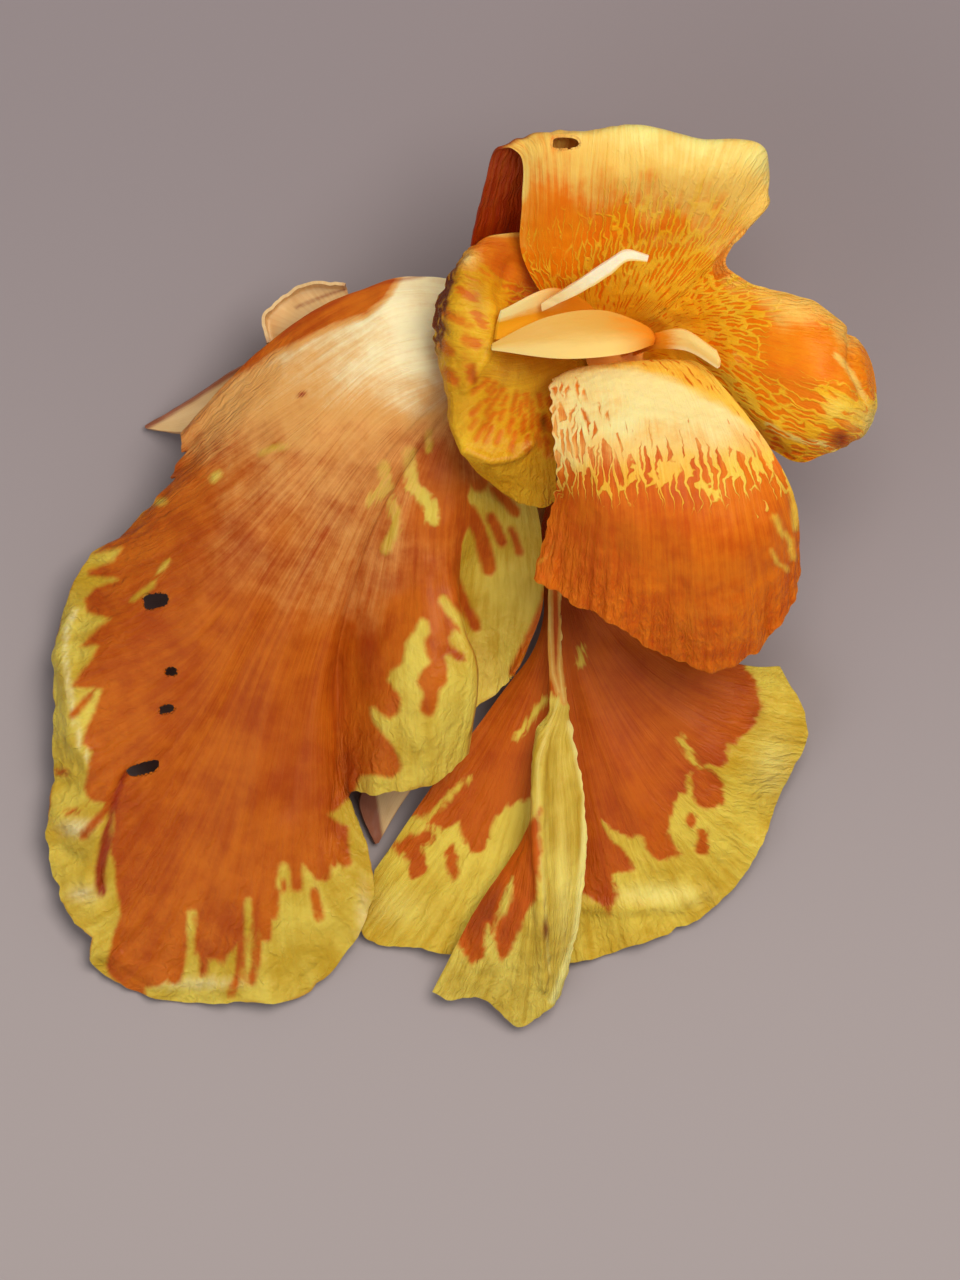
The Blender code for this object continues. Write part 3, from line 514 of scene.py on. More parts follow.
# The left petal. It is the largest of the petal-like organs of a canna: a soft thin orange sheet with a
# frilled yellow margin. It widens from a claw on the side of the tube, its left edge is rolled under, a
# pleated lobe falls beside the fan, and insects and wilting have left holes and tears in it.
LEFT_ROOT = (150.0, 215.0, 14.5)
LEFT_CLAW = ((12.0, 36.5, 18.0), (10.0, 30.0, 19.5))
LEFT_VEINS = (
    ((3, 41.4, 22), (-5.1, 42.4, 24.2), (-13.2, 40.8, 25), (-22, 36.7, 22.5), (-31, 29.3, 18),
     (-39, 20.5, 12)),
    ((2, 37.8, 23.9), (-6, 38.8, 26.8), (-15, 35.2, 26.8), (-26, 27.5, 23.2), (-34, 20.6, 18),
     (-40, 16, 12)),
    ((1.5, 35, 24.5), (-8, 34, 27.5), (-20, 25.5, 26.5), (-31, 18, 21), (-40, 12, 15), (-46, 8, 10)),
    ((1, 33, 25), (-9, 31, 28), (-22, 20, 26), (-34, 10, 20), (-46, 4, 12), (-52, 3, 7)),
    ((0.5, 31, 25), (-9.5, 28, 28), (-23, 15, 25), (-37, 2, 18), (-50, -4, 11), (-56, -4.5, 6)),
    ((0, 29.5, 25), (-10, 25.5, 27.5), (-24, 10, 24), (-38, -6, 16), (-53, -13, 11), (-56.7, -14, 6)),
    ((0, 28.5, 24.8), (-10.5, 23, 27), (-25, 5, 22), (-38, -14, 14), (-52.5, -24, 10), (-57.3, -26, 5)),
    ((-0.3, 28, 24.6), (-10.5, 21, 26.5), (-26, 0, 20), (-39, -22, 12), (-52, -35, 8), (-57.9, -39, 4)),
    ((-0.6, 27.5, 24.4), (-10.5, 19.5, 26), (-26, -4, 18), (-38, -28, 10), (-49, -45, 5), (-54.5, -48, 3)),
    ((-0.9, 27, 24.2), (-10.5, 18, 25.5), (-26, -8, 17), (-36, -33, 9), (-46, -50, 4), (-51, -55, 1.5)),
    ((-1.1, 26.5, 24), (-10.5, 17, 25), (-25, -11, 16), (-33, -36, 9), (-38, -51, 4.5), (-42, -59, 0.8)),
    ((-1.2, 26, 23.8), (-10, 16, 24.5), (-23, -13, 15), (-28, -37, 9), (-31, -52, 5), (-32, -59.5, 1.5)),
    ((-1.2, 25.5, 23.6), (-9.5, 15, 24), (-21, -14, 14.5), (-24, -36, 9), (-24, -50, 5), (-22, -58.5, 1.8)),
    ((-1.1, 25, 23.4), (-9, 14.5, 23.5), (-19, -13, 14), (-20, -32, 9), (-18, -43, 6), (-13, -47.5, 3.6)),
    ((-1, 24.6, 23.2), (-8.5, 14.5, 23), (-17.5, -10, 13), (-18, -25, 9), (-17, -33, 7), (-13, -37.5, 5.2)),
    ((-0.8, 24.2, 23), (-8, 15, 22.5), (-16.5, -7, 12), (-17, -17, 9), (-16.5, -25, 8), (-16, -30.8, 7)),
    ((-0.4, 23.8, 22.8), (-6.5, 14, 22.5), (-10, -3, 17.5), (-11, -12, 17), (-11, -22, 16),
     (-11, -30.2, 12)),
    ((0, 23.5, 22.6), (-4.5, 13.5, 22.5), (-6, 0, 19.5), (-6, -10, 20.5), (-5, -19, 19), (-5, -29, 13)),
    ((0.6, 23, 22.2), (-1, 12.5, 22), (-1.5, 0.5, 19.5), (0.5, -7, 19.5), (2.2, -14, 18), (0.7, -25, 12)),
    ((1.6, 22.5, 21.5), (2, 12, 20), (0.5, 2, 16), (-1, -6, 14.5), (-1, -13, 12.5), (-0.5, -21, 10.5)),
    ((3.5, 22, 20.5), (5.5, 12, 18), (5, 3, 14), (5, -4, 12), (5, -10, 10.8), (5.5, -15.5, 9.8)),
    ((6.5, 21.5, 19), (10.2, 12, 16.5), (11.6, 3, 13.5), (11.5, -4, 12), (9.7, -9, 11), (8, -13, 10)),
)


def inside_by(points, outline):
    """How far points lie inside an outline seen from above, in millimetres; negative when outside."""
    x, y = points[..., 0], points[..., 1]
    nearest = np.full(x.shape, 1e9)
    within = np.zeros(x.shape, dtype=bool)
    corners = np.array(outline, dtype=float)
    for (ax, ay), (bx, by) in zip(corners, np.roll(corners, -1, axis=0)):
        dx, dy = bx - ax, by - ay
        share = np.clip(((x - ax) * dx + (y - ay) * dy) / (dx * dx + dy * dy), 0, 1)
        nearest = np.minimum(nearest, np.hypot(x - ax - share * dx, y - ay - share * dy))
        if dy:
            within ^= ((ay > y) != (by > y)) & (x < ax + (y - ay) * dx / dy)
    return np.where(within, nearest, -nearest)


def patches(points, spots):
    """A soft field made of round patches: x, y, radius across, radius up, strength."""
    total = np.zeros(points.shape[:2])
    for x, y, wide, high, strength in spots:
        reach = ((points[..., 0] - x) / wide) ** 2 + ((points[..., 1] - y) / high) ** 2
        total = np.maximum(total, strength * np.exp(-reach))
    return total


def graded(points, spots):
    """A field that passes smoothly from spot to spot: x, y and the value there."""
    total = np.zeros(points.shape[:2])
    weights = np.zeros(points.shape[:2])
    for x, y, value in spots:
        weight = ((points[..., 0] - x) ** 2 + (points[..., 1] - y) ** 2 + 3.0) ** -1.7
        total += weight * value
        weights += weight
    return total / weights


def highest(*fields):
    """The highest of several fields at each point."""
    return reduce(np.maximum, fields)


def strokes(points, lines):
    """How far points lie inside the nearest of several lines, each given with its width."""
    return highest(*(stroke(points, line, width) for line, width in lines))


def inked(points, line, width, start, top, slope=1.0):
    """A soft line: start along its sides, rising inwards by slope for each millimetre, up to top."""
    return np.clip(start + slope * stroke(points, line, width), 0, top)


PETAL_THICKNESS = 0.4
PETAL_WAX = waxy(0.25, 0.0025, 0.0012, 0.0004) | {"Specular IOR Level": 0.16}


def petal_skin(petal, name, tones, streaks, cells, border):
    """A petal's material: orange inside its border and yellow outside, streaked along the veins.

    tones are deep orange, orange, deep yellow, yellow, tan, pale and dark. streaks and cells are how many
    streaks and net cells there are from side to side and from root to margin, and the streaks' third value
    is how strongly they break up the pale parts. border is how far, in millimetres, the streaks push the
    orange past its border or hold it back.
    """
    dye = Dye(name)
    deep, orange, dull, yellow, tan, pale, dark = (srgb(*tone) for tone in tones)
    over, along = dye.unrolled()
    place = dye.place()
    wide, far = over * streaks[0], along * streaks[1]
    veins = dye.noise(dye.spread(wide, far), 1.0, 3.0, 0.6)
    hairs = dye.noise(dye.spread(wide * 3.2, far * 2.0), 1.0, 2.0, 0.5)
    clouds = dye.noise(place, 90.0, 3.0)
    blotches = dye.noise(place, 260.0, 4.0, 0.65)
    specks = dye.noise(place, 1100.0, 2.0)
    sway = dye.noise(place, 420.0, 2.0)
    cell_place = dye.spread(over * cells[0] + sway * 1.6, along * cells[1] + sway * 0.9)
    meshes = {"voronoi_dimensions": "2D", "feature": "DISTANCE_TO_EDGE"}
    gaps = dye.node("ShaderNodeTexVoronoi", meshes, {"Vector": cell_place, "Scale": 1.0})
    # The milk field pales the yellow towards the pale tone, and the dark field darkens the skin towards the
    # dark tone. Each petal fills them partly with its own colour, such as dry brown margins and tears, and
    # partly with painted highlight and painted shade.
    edge, netted, paleness, milk_and_highlight, darkness = map(dye.stored, ("orange", "net", "pale", "milk_and_highlight", "dark"))
    reached = edge + (veins - 0.5) * 2 * border + (gaps - 0.2) * netted + (specks - 0.5) * 0.4
    share = dye.ramp(reached, -0.45, 0.5)
    body = dye.mixed(dye.ramp(clouds * 0.4 + blotches * 0.3 + veins * 0.3, 0.36, 0.62), deep, orange)
    rim = dye.mixed(dye.ramp(clouds * 0.6 + veins * 0.4, 0.34, 0.66), dull, yellow)
    rim = dye.mixed(dye.ramp(milk_and_highlight + (hairs - 0.5) * 0.3, 0.05, 0.9), rim, pale)
    skin = dye.mixed(share, rim, body)
    faded = paleness + (hairs - 0.5) * 0.15 + (blotches - 0.5) * 0.55 + (veins - 0.5) * streaks[2]
    faded = faded * dye.ramp(paleness, 0.0, 0.25)
    skin = dye.mixed(dye.ramp(faded, 0.0, 0.55), skin, tan)
    skin = dye.mixed(dye.ramp(faded, 0.5, 1.1), skin, pale)
    stain_and_shade = darkness + (veins - 0.5) * 0.4 * dye.ramp(darkness, 0.0, 0.2)
    skin = dye.mixed(dye.ramp(stain_and_shade, 0.1, 0.95), skin, dark)
    crepe = dye.noise(place, 620.0, 3.0) * (1.35 - share)
    waves = dye.noise(dye.spread(wide * 0.9 + sway * 1.5, along * 16.0), 1.0, 2.0)
    folds = dye.node("ShaderNodeMath", {"operation": "ABSOLUTE"}, {0: waves - 0.5})
    height = veins * 0.5 + hairs * 0.3 + crepe * 0.8 - folds * dye.ramp(along, 0.68, 0.98) * 5.0
    grain = dye.bump(0.6, height, 0.0004)
    dye.finish(petal, PETAL_WAX, Base_Color=skin, Roughness=hairs * 0.25 + 0.36, Normal=grain)


LEFT_ORANGE = (
    (-43.4, 10.6), (-46.4, 7.9), (-49.5, 5.5), (-51.6, 3.7), (-47.3, 4.6), (-48.6, 2.7), (-52.2, 1.5),
    (-52.2, 0.6), (-47.9, 0.2), (-51.3, -0.9), (-52.8, -2.7), (-52.2, -4.5), (-48.9, -5.4), (-51.3, -7),
    (-53.4, -9.4), (-50.7, -9.1), (-51.6, -10.9), (-53.4, -13), (-54.5, -14.9), (-50.1, -15.2),
    (-51.3, -18.5), (-52.5, -20.6), (-53.1, -22.7), (-51.6, -24), (-52, -25.1), (-52.8, -29.2),
    (-52, -30.8), (-48.7, -31.5), (-48.7, -34.7), (-49.4, -37.9), (-48.7, -39.5), (-48.4, -43.1),
    (-47.8, -46.9), (-48.7, -49.5), (-50, -54), (-49.4, -55.6), (-47.1, -57.5), (-44.5, -60),
    (-44.2, -57.2), (-42.3, -56.9), (-40.7, -55.6), (-39.4, -55.6), (-38.9, -53.7), (-38.3, -50.5),
    (-37, -46.3), (-37.4, -50.1), (-37.5, -52.4), (-36.5, -52.5), (-36.5, -55.3), (-35.9, -55.4),
    (-35.5, -53.3), (-33.6, -53.3), (-33.3, -54), (-32.7, -52.7), (-31.1, -51.1), (-30.7, -52.4),
    (-31.5, -55), (-32.5, -56.6), (-32.5, -58.5), (-31.7, -57.2), (-31.4, -55.6), (-30.3, -54),
    (-29.8, -51.4), (-29.9, -49.5), (-29.5, -45.6), (-29.3, -49.5), (-29.5, -54), (-29.9, -56.6),
    (-28.8, -56.4), (-28.5, -53.3), (-29, -50.1), (-28.5, -48.8), (-27.5, -50.5), (-26.9, -50.1),
    (-26.9, -47.6), (-27.5, -45), (-26.6, -47.2), (-25.8, -47.2), (-25.9, -45.6), (-26.4, -44.3),
    (-25.4, -41.8), (-24.8, -39.5), (-24, -40.2), (-23.5, -43.4), (-22.7, -43.7), (-22.2, -42.4),
    (-22.4, -39.5), (-21.4, -40.5), (-20.1, -41.9), (-19, -42.1), (-18.5, -40.3), (-17.7, -38.9),
    (-16.6, -40.2), (-16, -40), (-16, -37.9), (-15.6, -36), (-16.6, -34.2), (-18.7, -32.8), (-17.2, -32),
    (-16, -30.8), (30, -31), (30, 60), (-70, 60),
)
LEFT_LOBE_YELLOW = (
    (-5.4, -5.6), (-6, -7.1), (-7.2, -8.9), (-7.5, -11.7), (-9.3, -12.9), (-9.7, -13.8), (-8.7, -15),
    (-7.8, -16.5), (-8.1, -18.6), (-9.7, -19.7), (-11.2, -18.9), (-12.1, -18), (-11.8, -19.5),
    (-10.3, -21.4), (-9, -22.9), (-7.8, -25.3), (-8, -26.8), (-9.4, -28), (-11.8, -27.4), (-13.6, -27.7),
    (-15, -31), (-5, -32), (3, -26), (4, -14), (2, -9), (-0.7, -7.1), (-1.2, -8.3), (-0.9, -8.9),
    (0.7, -10.1), (1, -11.4), (-0.2, -11.7), (-1.8, -10.7), (-1.5, -12), (-1.5, -14.1), (-2.7, -15.6),
    (-3, -17.7), (-3.6, -19.2), (-4.8, -19.5), (-6, -18), (-5.4, -15.9), (-6.3, -14.4), (-6, -12.9),
    (-4.5, -11.4), (-5.1, -9.8), (-5.3, -8.3), (-4.5, -7.1), (-4.8, -5.9),
)
LEFT_YELLOW_STROKES = (
    (((-42.2, 11), (-41.4, 11)), 1.0), (((-45.8, -2.7), (-42.8, -0.3)), 0.5),
    (((-42.2, 1.2), (-40.7, 2.7)), 0.6), (((-2.4, -2.8), (0.3, -6.4), (1.7, -13), (1, -19)), 1.3),
    (((-48.6, -46), (-49.8, -51)), 1.4), (((-10.8, 16.3), (-10.3, 13.2), (-12.8, 11.2)), 1.5),
    (((-7.2, 17.9), (-6.7, 13.2), (-4.1, 10.7), (-3.8, 8.6)), 1.7), (((-4.4, 20.9), (-4.4, 18.4)), 1.0),
    (((-9.5, 11.2), (-8.7, 8.1), (-10.3, 4.5)), 1.3), (((-27.7, 17.9), (-24.1, 18.9)), 0.9),
    (((-34.5, 14.2), (-33.7, 14.9)), 1.1), (((-37.9, -46.5), (-38.1, -53.4)), 1.0),
    (((-29.8, -45), (-29.8, -54.4)), 0.9), (((-25, -40.2), (-25.5, -43.8)), 1.0),
)
LEFT_ORANGE_STROKES = (
    (((-54.3, -18.8), (-51.9, -16.1)), 0.9), (((-55.2, -32.6), (-53.5, -32.3)), 0.9),
    (((-52.9, -35.7), (-48.7, -30.9)), 1.2), (((-56.6, -26.8), (-55.3, -26.9)), 1.0),
    (((-39.5, -51), (-40.3, -55.4)), 2.6), (((-36, -51), (-36.1, -55.1)), 1.3),
    (((-33.4, -52), (-33.4, -53.6)), 1.0), (((-30.8, -50), (-31.2, -55.3), (-32.3, -58.1)), 1.3),
    (((-28.6, -47), (-28.6, -53.1), (-29.4, -56.4)), 1.2), (((-27.2, -44), (-27.2, -50.1)), 1.4),
    (((-26, -43.6), (-26.2, -46.9)), 1.3), (((-24.8, -42.4), (-24.8, -43.3)), 1.0),
    (((-23.2, -37), (-23, -42.9)), 1.9), (((-20.6, -43.8), (-19.9, -47.3)), 1.4),
    (((-20.7, -38), (-19.9, -41.4)), 1.3), (((-19, -38), (-18.9, -41.6)), 1.3),
    (((-17.9, -37), (-17.8, -39.7)), 1.1), (((-16.5, -35), (-16.1, -39.3)), 1.6),
)
RIGHT_LOBE_SIDE = 0.875
PLEAT_SIDE = 18 / 21
RIGHT_LOBE_ORANGE = (
    (((-3.5, 4), (-1, -1.5)), 3.0), (((1.3, 9.6), (3, 6), (4, 1.9)), 2.2), (((4.3, 8.8), (5.9, 5.5)), 1.6),
    (((4.8, 12.9), (7.7, 9.8)), 1.6), (((7.2, 7.2), (8.3, 4.1)), 1.1), (((0, -2), (2, -6.2)), 1.7),
    (((12.8, 2), (11.8, -3.5), (9.8, -8), (7.4, -12.8)), 1.3), (((1.5, 20), (2.5, 14)), 3.0),
)
RIGHT_LOBE_FOLD = ((1, -7.2), (7.9, -12.4), (5, -15.8), (0, -14.4))
LEFT_PALENESS = (
    (-7, 33, 1.02), (0, 30, 0.9), (-4, 38, 1.0), (-12, 38, 0.95), (-20, 34, 0.8), (-12.2, 20.3, 0.45),
    (-7.7, 25.5, 0.78), (-20, 28, 0.6), (-14, 29, 0.84), (-22.5, 22.5, 0.46), (-30.8, 25.5, 0.5),
    (-36, 21.5, 0.34), (-18, 15, 0.32), (-26, 17, 0.28), (-30, 15, 0.2), (-38, 14, 0.1), (-9, 20, 0.32),
    (-9, 14, 0.26), (-4, 17, 0.1), (2, 20, 0.25), (-40, 10, 0.04), (-25, 5, 0.16), (-14, 6, 0.26),
    (-14, 0, 0.24), (-18, -2, 0.2), (-20, 8, 0.22), (-3, 10, 0.05), (4, 10, 0.05), (-45, 0, 0),
    (-30, -8, 0.06), (-18, -8, 0.1), (-5, -5, 0), (5, 0, 0.1), (7, -9, 0), (-50, -20, 0), (-35, -30, 0),
    (-20, -30, 0), (-3, -20, 0), (-45, -45, 0.06), (-25, -50, 0),
)
LEFT_PALE_LIMIT = (
    (-29, 30.3), (-26, 32), (-17.7, 35.8), (-13.1, 37.3), (-10.4, 39.6), (-8.2, 43.4), (6, 43.4), (10, 20),
    (-5, -9), (-50, -9), (-44, 20), (-34, 27),
)
LEFT_UPPER_EDGE = ((-25.3, 33.8), (-21.6, 37.1), (-18.5, 38.3), (-15.2, 40.1), (-11.1, 41.5), (-5.1, 42.5))
LEFT_TEAR = ((-47, -27), (-48.3, -30), (-49.5, -35), (-50.7, -41), (-50.5, -43.5))
LEFT_HOLES = (
    (-42.7, -2.8, 2.0, 1.25, 8), (-40.5, -12.7, 0.95, 0.7, 0), (-41.2, -18, 1.2, 0.75, 10),
    (-44.5, -26.3, 2.5, 1.0, 15),
)
left = Sheet(side_roots(LEFT_VEINS, LEFT_ROOT, (LEFT_CLAW,)), columns=361, rows=105)
left.frill(height=1.0, waves=8, reach=0.3)
LEFT_ROLL = ((-54, -4.2), (-55.2, -6.7), (-55.4, -10.6), (-54.6, -16.7), (-53.4, -22.8), (-51.6, -25.8))
left.crease(
    (LEFT_ROLL, 0.9, 1.2),
    (((-57, -28), (-54, -29.5)), -0.6, 0.8),
    (((-57, -32.5), (-53.5, -34.5), (-50.5, -35.5)), 0.8, 0.8),
    (((-57, -37.5), (-53, -39.8)), -0.8, 0.8),
    (((-56, -44), (-52, -42.6)), 0.7, 0.8),
    (((-55.5, -21), (-53, -24)), 0.5, 0.8),
    (((-54, -50), (-50.5, -46.5)), 0.6, 0.8),
    (((-51, -54.6), (-47.6, -51)), -0.5, 0.8),
    (LEFT_TEAR, -0.9, 0.6),
    ([(x - 1.3, y + 0.3) for x, y in LEFT_TEAR], 0.5, 0.5),
    (((-14, 20), (-22, 0), (-29, -30)), 0.5, 1.8),
    (((-20, 20), (-34, 0), (-44, -24)), 0.5, 2.2),
    (((-11, 12), (-20, -10), (-24, -32)), -0.5, 1.6),
    (((-5, 2), (-4, -10), (-4, -22)), 0.5, 1.8),
    (((-12, -41), (-13.5, -46), (-14.5, -51)), 0.5, 0.8),
    (((-50, -52), (-44, -55.5), (-37, -56.3), (-30, -57)), 0.5, 0.9),
)
left.crinkle(height=0.9, count=46.0, start=0.78, seed=2.0)
left.crinkle(height=0.4, count=120.0, start=0.86, seed=7.0)
left.raise_by(0.2 * rough_field(left.points, 3.0) + 0.08 * rough_field(left.points, 1.2, 4.0))
left.tear(0.25, (
    (-39.8, 17.2, 0.9, 1.6), (-42, 13.2, 1.5, 2.9), (-37.2, 22.4, 0.8, 0.8), (-34.6, 25.2, 0.7, 0.6),
    (-53.4, -51, 2.8, 3.6), (-56.8, -43.4, 1.6, 1.5), (-57.6, -34, 1.4, 1.0), (-20, -57, 1.2, 0.6),
    (-48, -57.6, 1.2, 0.7), (-56.5, -17.5, 1.0, 0.5), (-13, -44, 1.0, 0.5), (1, -25.5, 1.0, 0.5),
))


def round_hole(x, y, wide, high, degrees):
    """The outline of a nibbled hole, as points round it."""
    turn = math.radians(degrees)
    ring = []
    for step in range(28):
        angle = 2 * math.pi * step / 28
        swell = 1 + 0.05 * math.sin(3 * angle + x) - 0.06 * math.cos(4 * angle)
        across, up = wide * swell * math.cos(angle), high * swell * math.sin(angle)
        along_x = x + across * math.cos(turn) - up * math.sin(turn)
        ring.append((along_x, y + across * math.sin(turn) + up * math.cos(turn)))
    return ring


def pick_faces(petal, outline, lowest, nearest, farthest):
    """Selects the faces whose middles lie between two distances inside an outline, above a height."""
    centres = vectors(petal.data.polygons, "center") / MM
    away = inside_by(centres, outline)
    bpy.ops.object.mode_set(mode="EDIT")
    bpy.ops.mesh.select_mode(type="FACE")
    bpy.ops.mesh.select_all(action="DESELECT")
    bpy.ops.object.mode_set(mode="OBJECT")
    chosen = (away > nearest) & (away < farthest) & (centres[:, 2] > lowest)
    petal.data.polygons.foreach_set("select", chosen)
    bpy.ops.object.mode_set(mode="EDIT")


HOLE_BAND = 0.9
HOLE_STEP = 0.13


def cut_hole(petal, outline, lowest=0.0):
    """Divides the faces round an outline finely, deletes those inside it and evens the edge left there."""
    pick_faces(petal, outline, lowest, -HOLE_BAND, HOLE_BAND)
    bpy.ops.mesh.subdivide(number_cuts=5)
    bpy.ops.object.mode_set(mode="OBJECT")
    pick_faces(petal, outline, lowest, 0.0, 99.0)
    bpy.ops.mesh.delete(type="FACE")
    bpy.ops.object.mode_set(mode="OBJECT")
    places = vectors(petal.data.vertices, "co") / MM
    ring = np.array(outline)
    spans = np.roll(ring, -1, axis=0) - ring
    near = (np.abs(inside_by(places, outline)) < HOLE_STEP) & (places[:, 2] > lowest)
    for vertex in np.argwhere(near)[:, 0]:
        here = places[vertex, :2]
        shares = np.clip(((here - ring) * spans).sum(axis=1) / (spans**2).sum(axis=1), 0, 1)
        nearest = ring + spans * shares[:, None]
        places[vertex, :2] = nearest[np.linalg.norm(nearest - here, axis=1).argmin()]
    petal.data.vertices.foreach_set("co", (places * MM).reshape(-1))
    petal.data.update()


DRY_WIDTH = 0.7


def dry_edge(sheet, strength, seed):
    """How brown the sheet is close to its margin, here and there."""
    lengths = np.linalg.norm(np.diff(sheet.points, axis=0), axis=2)
    left_over = np.cumsum(lengths[::-1], axis=0)[::-1]
    left_over = np.concatenate([left_over, np.zeros((1, left_over.shape[1]))])
    patchy = np.clip(0.35 + rough_field(sheet.points[-1], 5.0, seed), 0, 1)
    return strength * patchy * np.clip(1 - left_over / DRY_WIDTH, 0, 1)


here = left.points
orange = np.minimum(inside_by(here, LEFT_ORANGE), -inside_by(here, LEFT_LOBE_YELLOW) - 0.3)
orange = np.clip(orange, -6, 2.6)
orange -= patches(here, ((-10, 11, 5, 7, 1.6), (-4, 10, 4, 6, 1.6), (-26, 15, 7, 3, 1.2)))
orange = np.minimum(orange, -strokes(here, LEFT_YELLOW_STROKES))
orange = highest(orange, strokes(here, LEFT_ORANGE_STROKES))
right_lobe = highest(-2.0, strokes(here, RIGHT_LOBE_ORANGE))
behind = np.clip((left.side - RIGHT_LOBE_SIDE) / 0.02, 0, 1)
# Painted shade: lobe_edge is a dark line along the pleat between the lobes.
lobe_edge = np.clip(1 - np.abs(left.side - PLEAT_SIDE) / 0.006, 0, 1)
lobe_edge = lobe_edge * np.clip((left.reach - 0.5) * 4, 0, 1)
left_petal = left.piece("left_frilled_petal", {
    "orange": orange * (1 - behind) + right_lobe * behind,
    "net": patches(here, ((-10, 11, 6, 6, 1.5), (-4, 10, 4, 5, 1.5))) * (1 - behind),
    "pale": graded(here, LEFT_PALENESS) * np.clip(inside_by(here, LEFT_PALE_LIMIT) / 1.5 + 0.3, 0, 1),
    # Painted highlights: pale along the rolled left margin and on the raised creases near the lower and
    # left margins.
    "milk_and_highlight": highest(inked(here, LEFT_ROLL, 0.6, 0.35, 0.45, 0.6), patches(here, (
        (-37, -56.5, 8, 1.2, 0.4), (-13.6, -47, 1.4, 6, 0.35), (-54, -34.5, 3, 1.6, 0.5),
        (-53, -44, 3, 1.6, 0.4),
    ))),
    # The dark field is partly the petal's own colour (the tear, the dry margin, small dark spots) and
    # partly painted shade: the valley beside the lobe near (-17..-9, 0..-26), the shade by the cup near
    # (-2.5, 15), the fold under the right lobe and the lobe_edge line.
    "dark": highest(
        patches(here, (
            (-17, -16, 2.6, 8, 0.5), (-15, -26, 2.2, 6, 0.45), (-2.5, 15, 4, 6, 0.3),
            (-22, 26, 0.7, 0.5, 1.0), (-35.5, -18, 0.8, 0.5, 0.5), (-23, -25, 8, 13, 0.42),
            (-40.6, 15.6, 2.2, 2.4, 0.5), (-44, 8, 4, 3, 0.2), (-12.8, -10, 2, 8, 0.45),
            (-9, -0.5, 4, 2, 0.4), (-38, -20, 1.5, 5, 0.15), (-32, -44, 2, 5, 0.2), (-43, 2, 5, 3, 0.15),
        )),
        0.14 * behind,
        0.28 * behind * np.clip(inside_by(here, RIGHT_LOBE_FOLD) + 0.5, 0, 1),
        inked(here, LEFT_TEAR[:3], 1.2, 0.45, 0.75, 1.2),
        inked(here, LEFT_TEAR[2:], 1.8, 0.45, 0.85, 1.2),
        inked(here, LEFT_UPPER_EDGE, 0.3, 0.5, 0.6, 0.8),
        0.6 * lobe_edge,
        dry_edge(left, 0.7, 14.0),
    ),
})
for hole in LEFT_HOLES:
    cut_hole(left_petal, round_hole(*hole))
thicken(left_petal, PETAL_THICKNESS)
LEFT_TONES = (
    (168, 68, 4), (202, 102, 16), (192, 150, 34), (230, 198, 82), (228, 160, 86), (255, 232, 180),
    (146, 42, 16),
)
petal_skin(
    left_petal, "left_petal_skin", LEFT_TONES,
    streaks=(90.0, 5.0, 0.45), cells=(54.0, 22.0), border=0.45,
)
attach(left_petal, "root")
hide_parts("staminode_left")

# The fan. It is a broad petal at the lower right on a flat claw, orange with a wide yellow margin, and
# it lies under the folded blade and the lip.
FAN_ROOT = (235.0, 262.0, 12.5)
FAN_CLAW = (((15.5, 19, 12), (18, 20, 12)), ((11.5, 8, 11), (15, 8, 11)))
FAN_VEINS = (
    ((11.8, -5, 9), (5, -17, 6.5), (-4, -29, 5), (-12, -41, 2.4)),
    ((12.4, -5, 9.4), (6, -22, 7.2), (-2, -36, 4.6), (-13.5, -50.5, 1.4)),
    ((12.8, -5, 9.6), (8, -25, 7.6), (2, -40, 5), (-5, -52, 1.4)),
    ((13.2, -5, 9.8), (10.5, -27, 7.6), (8, -43, 4.6), (5, -54, 1.3)),
    ((13.6, -5, 9.8), (14, -28, 7), (14.5, -44, 4), (15, -54, 1.3)),
    ((14.2, -5, 9.8), (18, -28, 7.2), (21, -42, 4.5), (23, -52, 1.4)),
    ((15, -5, 10), (22, -27, 8), (28, -39, 5), (33, -48, 1.5)),
    ((16, -5, 10), (26, -25, 8.5), (34, -34, 6.5), (41, -40, 2.5)),
    ((17, -4, 10), (29, -21, 9.5), (38, -28, 8), (45.5, -29, 4)),
    ((18.5, -3, 10.5), (31, -16, 10.5), (41, -20, 9.5), (49, -21.5, 6)),
    ((20, -1, 11), (33, -10, 11.5), (41, -12, 11), (45, -12, 8.5)),
)
FAN_ORANGE = (
    (39.9, -11.7), (41.8, -14.3), (42.6, -17.8), (40.3, -21.6), (37.6, -23.2), (38, -25.1), (36.8, -26.3),
    (35.3, -26.3), (32.4, -27), (32.2, -30.1), (31.1, -30.1), (30.3, -31.6), (29.9, -33.9), (29.5, -35.1),
    (31.1, -37.4), (32.2, -38.5), (31.1, -38.9), (28.8, -39.7), (27.2, -39.3), (26.1, -37.8), (25.3, -36.2),
    (22.6, -35.9), (19.9, -33.9), (21.5, -36.2), (23.8, -38.5), (24.9, -40.5), (21.5, -41.2), (22, -43.2),
    (21.8, -45.5), (21.1, -47), (19.5, -45.5), (17.2, -44.3), (13, -44), (10.6, -30.3), (7.5, -31.2),
    (5.1, -32.9), (4.5, -36.4), (3.2, -38.6), (1, -38.6), (0.1, -36.4), (-0.1, -34.2), (-2.1, -35.1),
    (-3.9, -34.7), (-5.6, -33.4), (-20, -30), (-20, 30), (60, 30),
)
FAN_ORANGE_STROKES = (
    (((34.4, -28.2), (35, -30)), 4.4), (((32.6, -33.2), (32.6, -33.8)), 1.4),
    (((34.1, -35.8), (34.1, -37.4)), 1.9), (((-1.2, -38.2), (-1.2, -40.8)), 1.9),
    (((-6.4, -38), (-6, -40.6)), 2.6), (((-8.5, -37.5), (-4.5, -36)), 2.2),
)
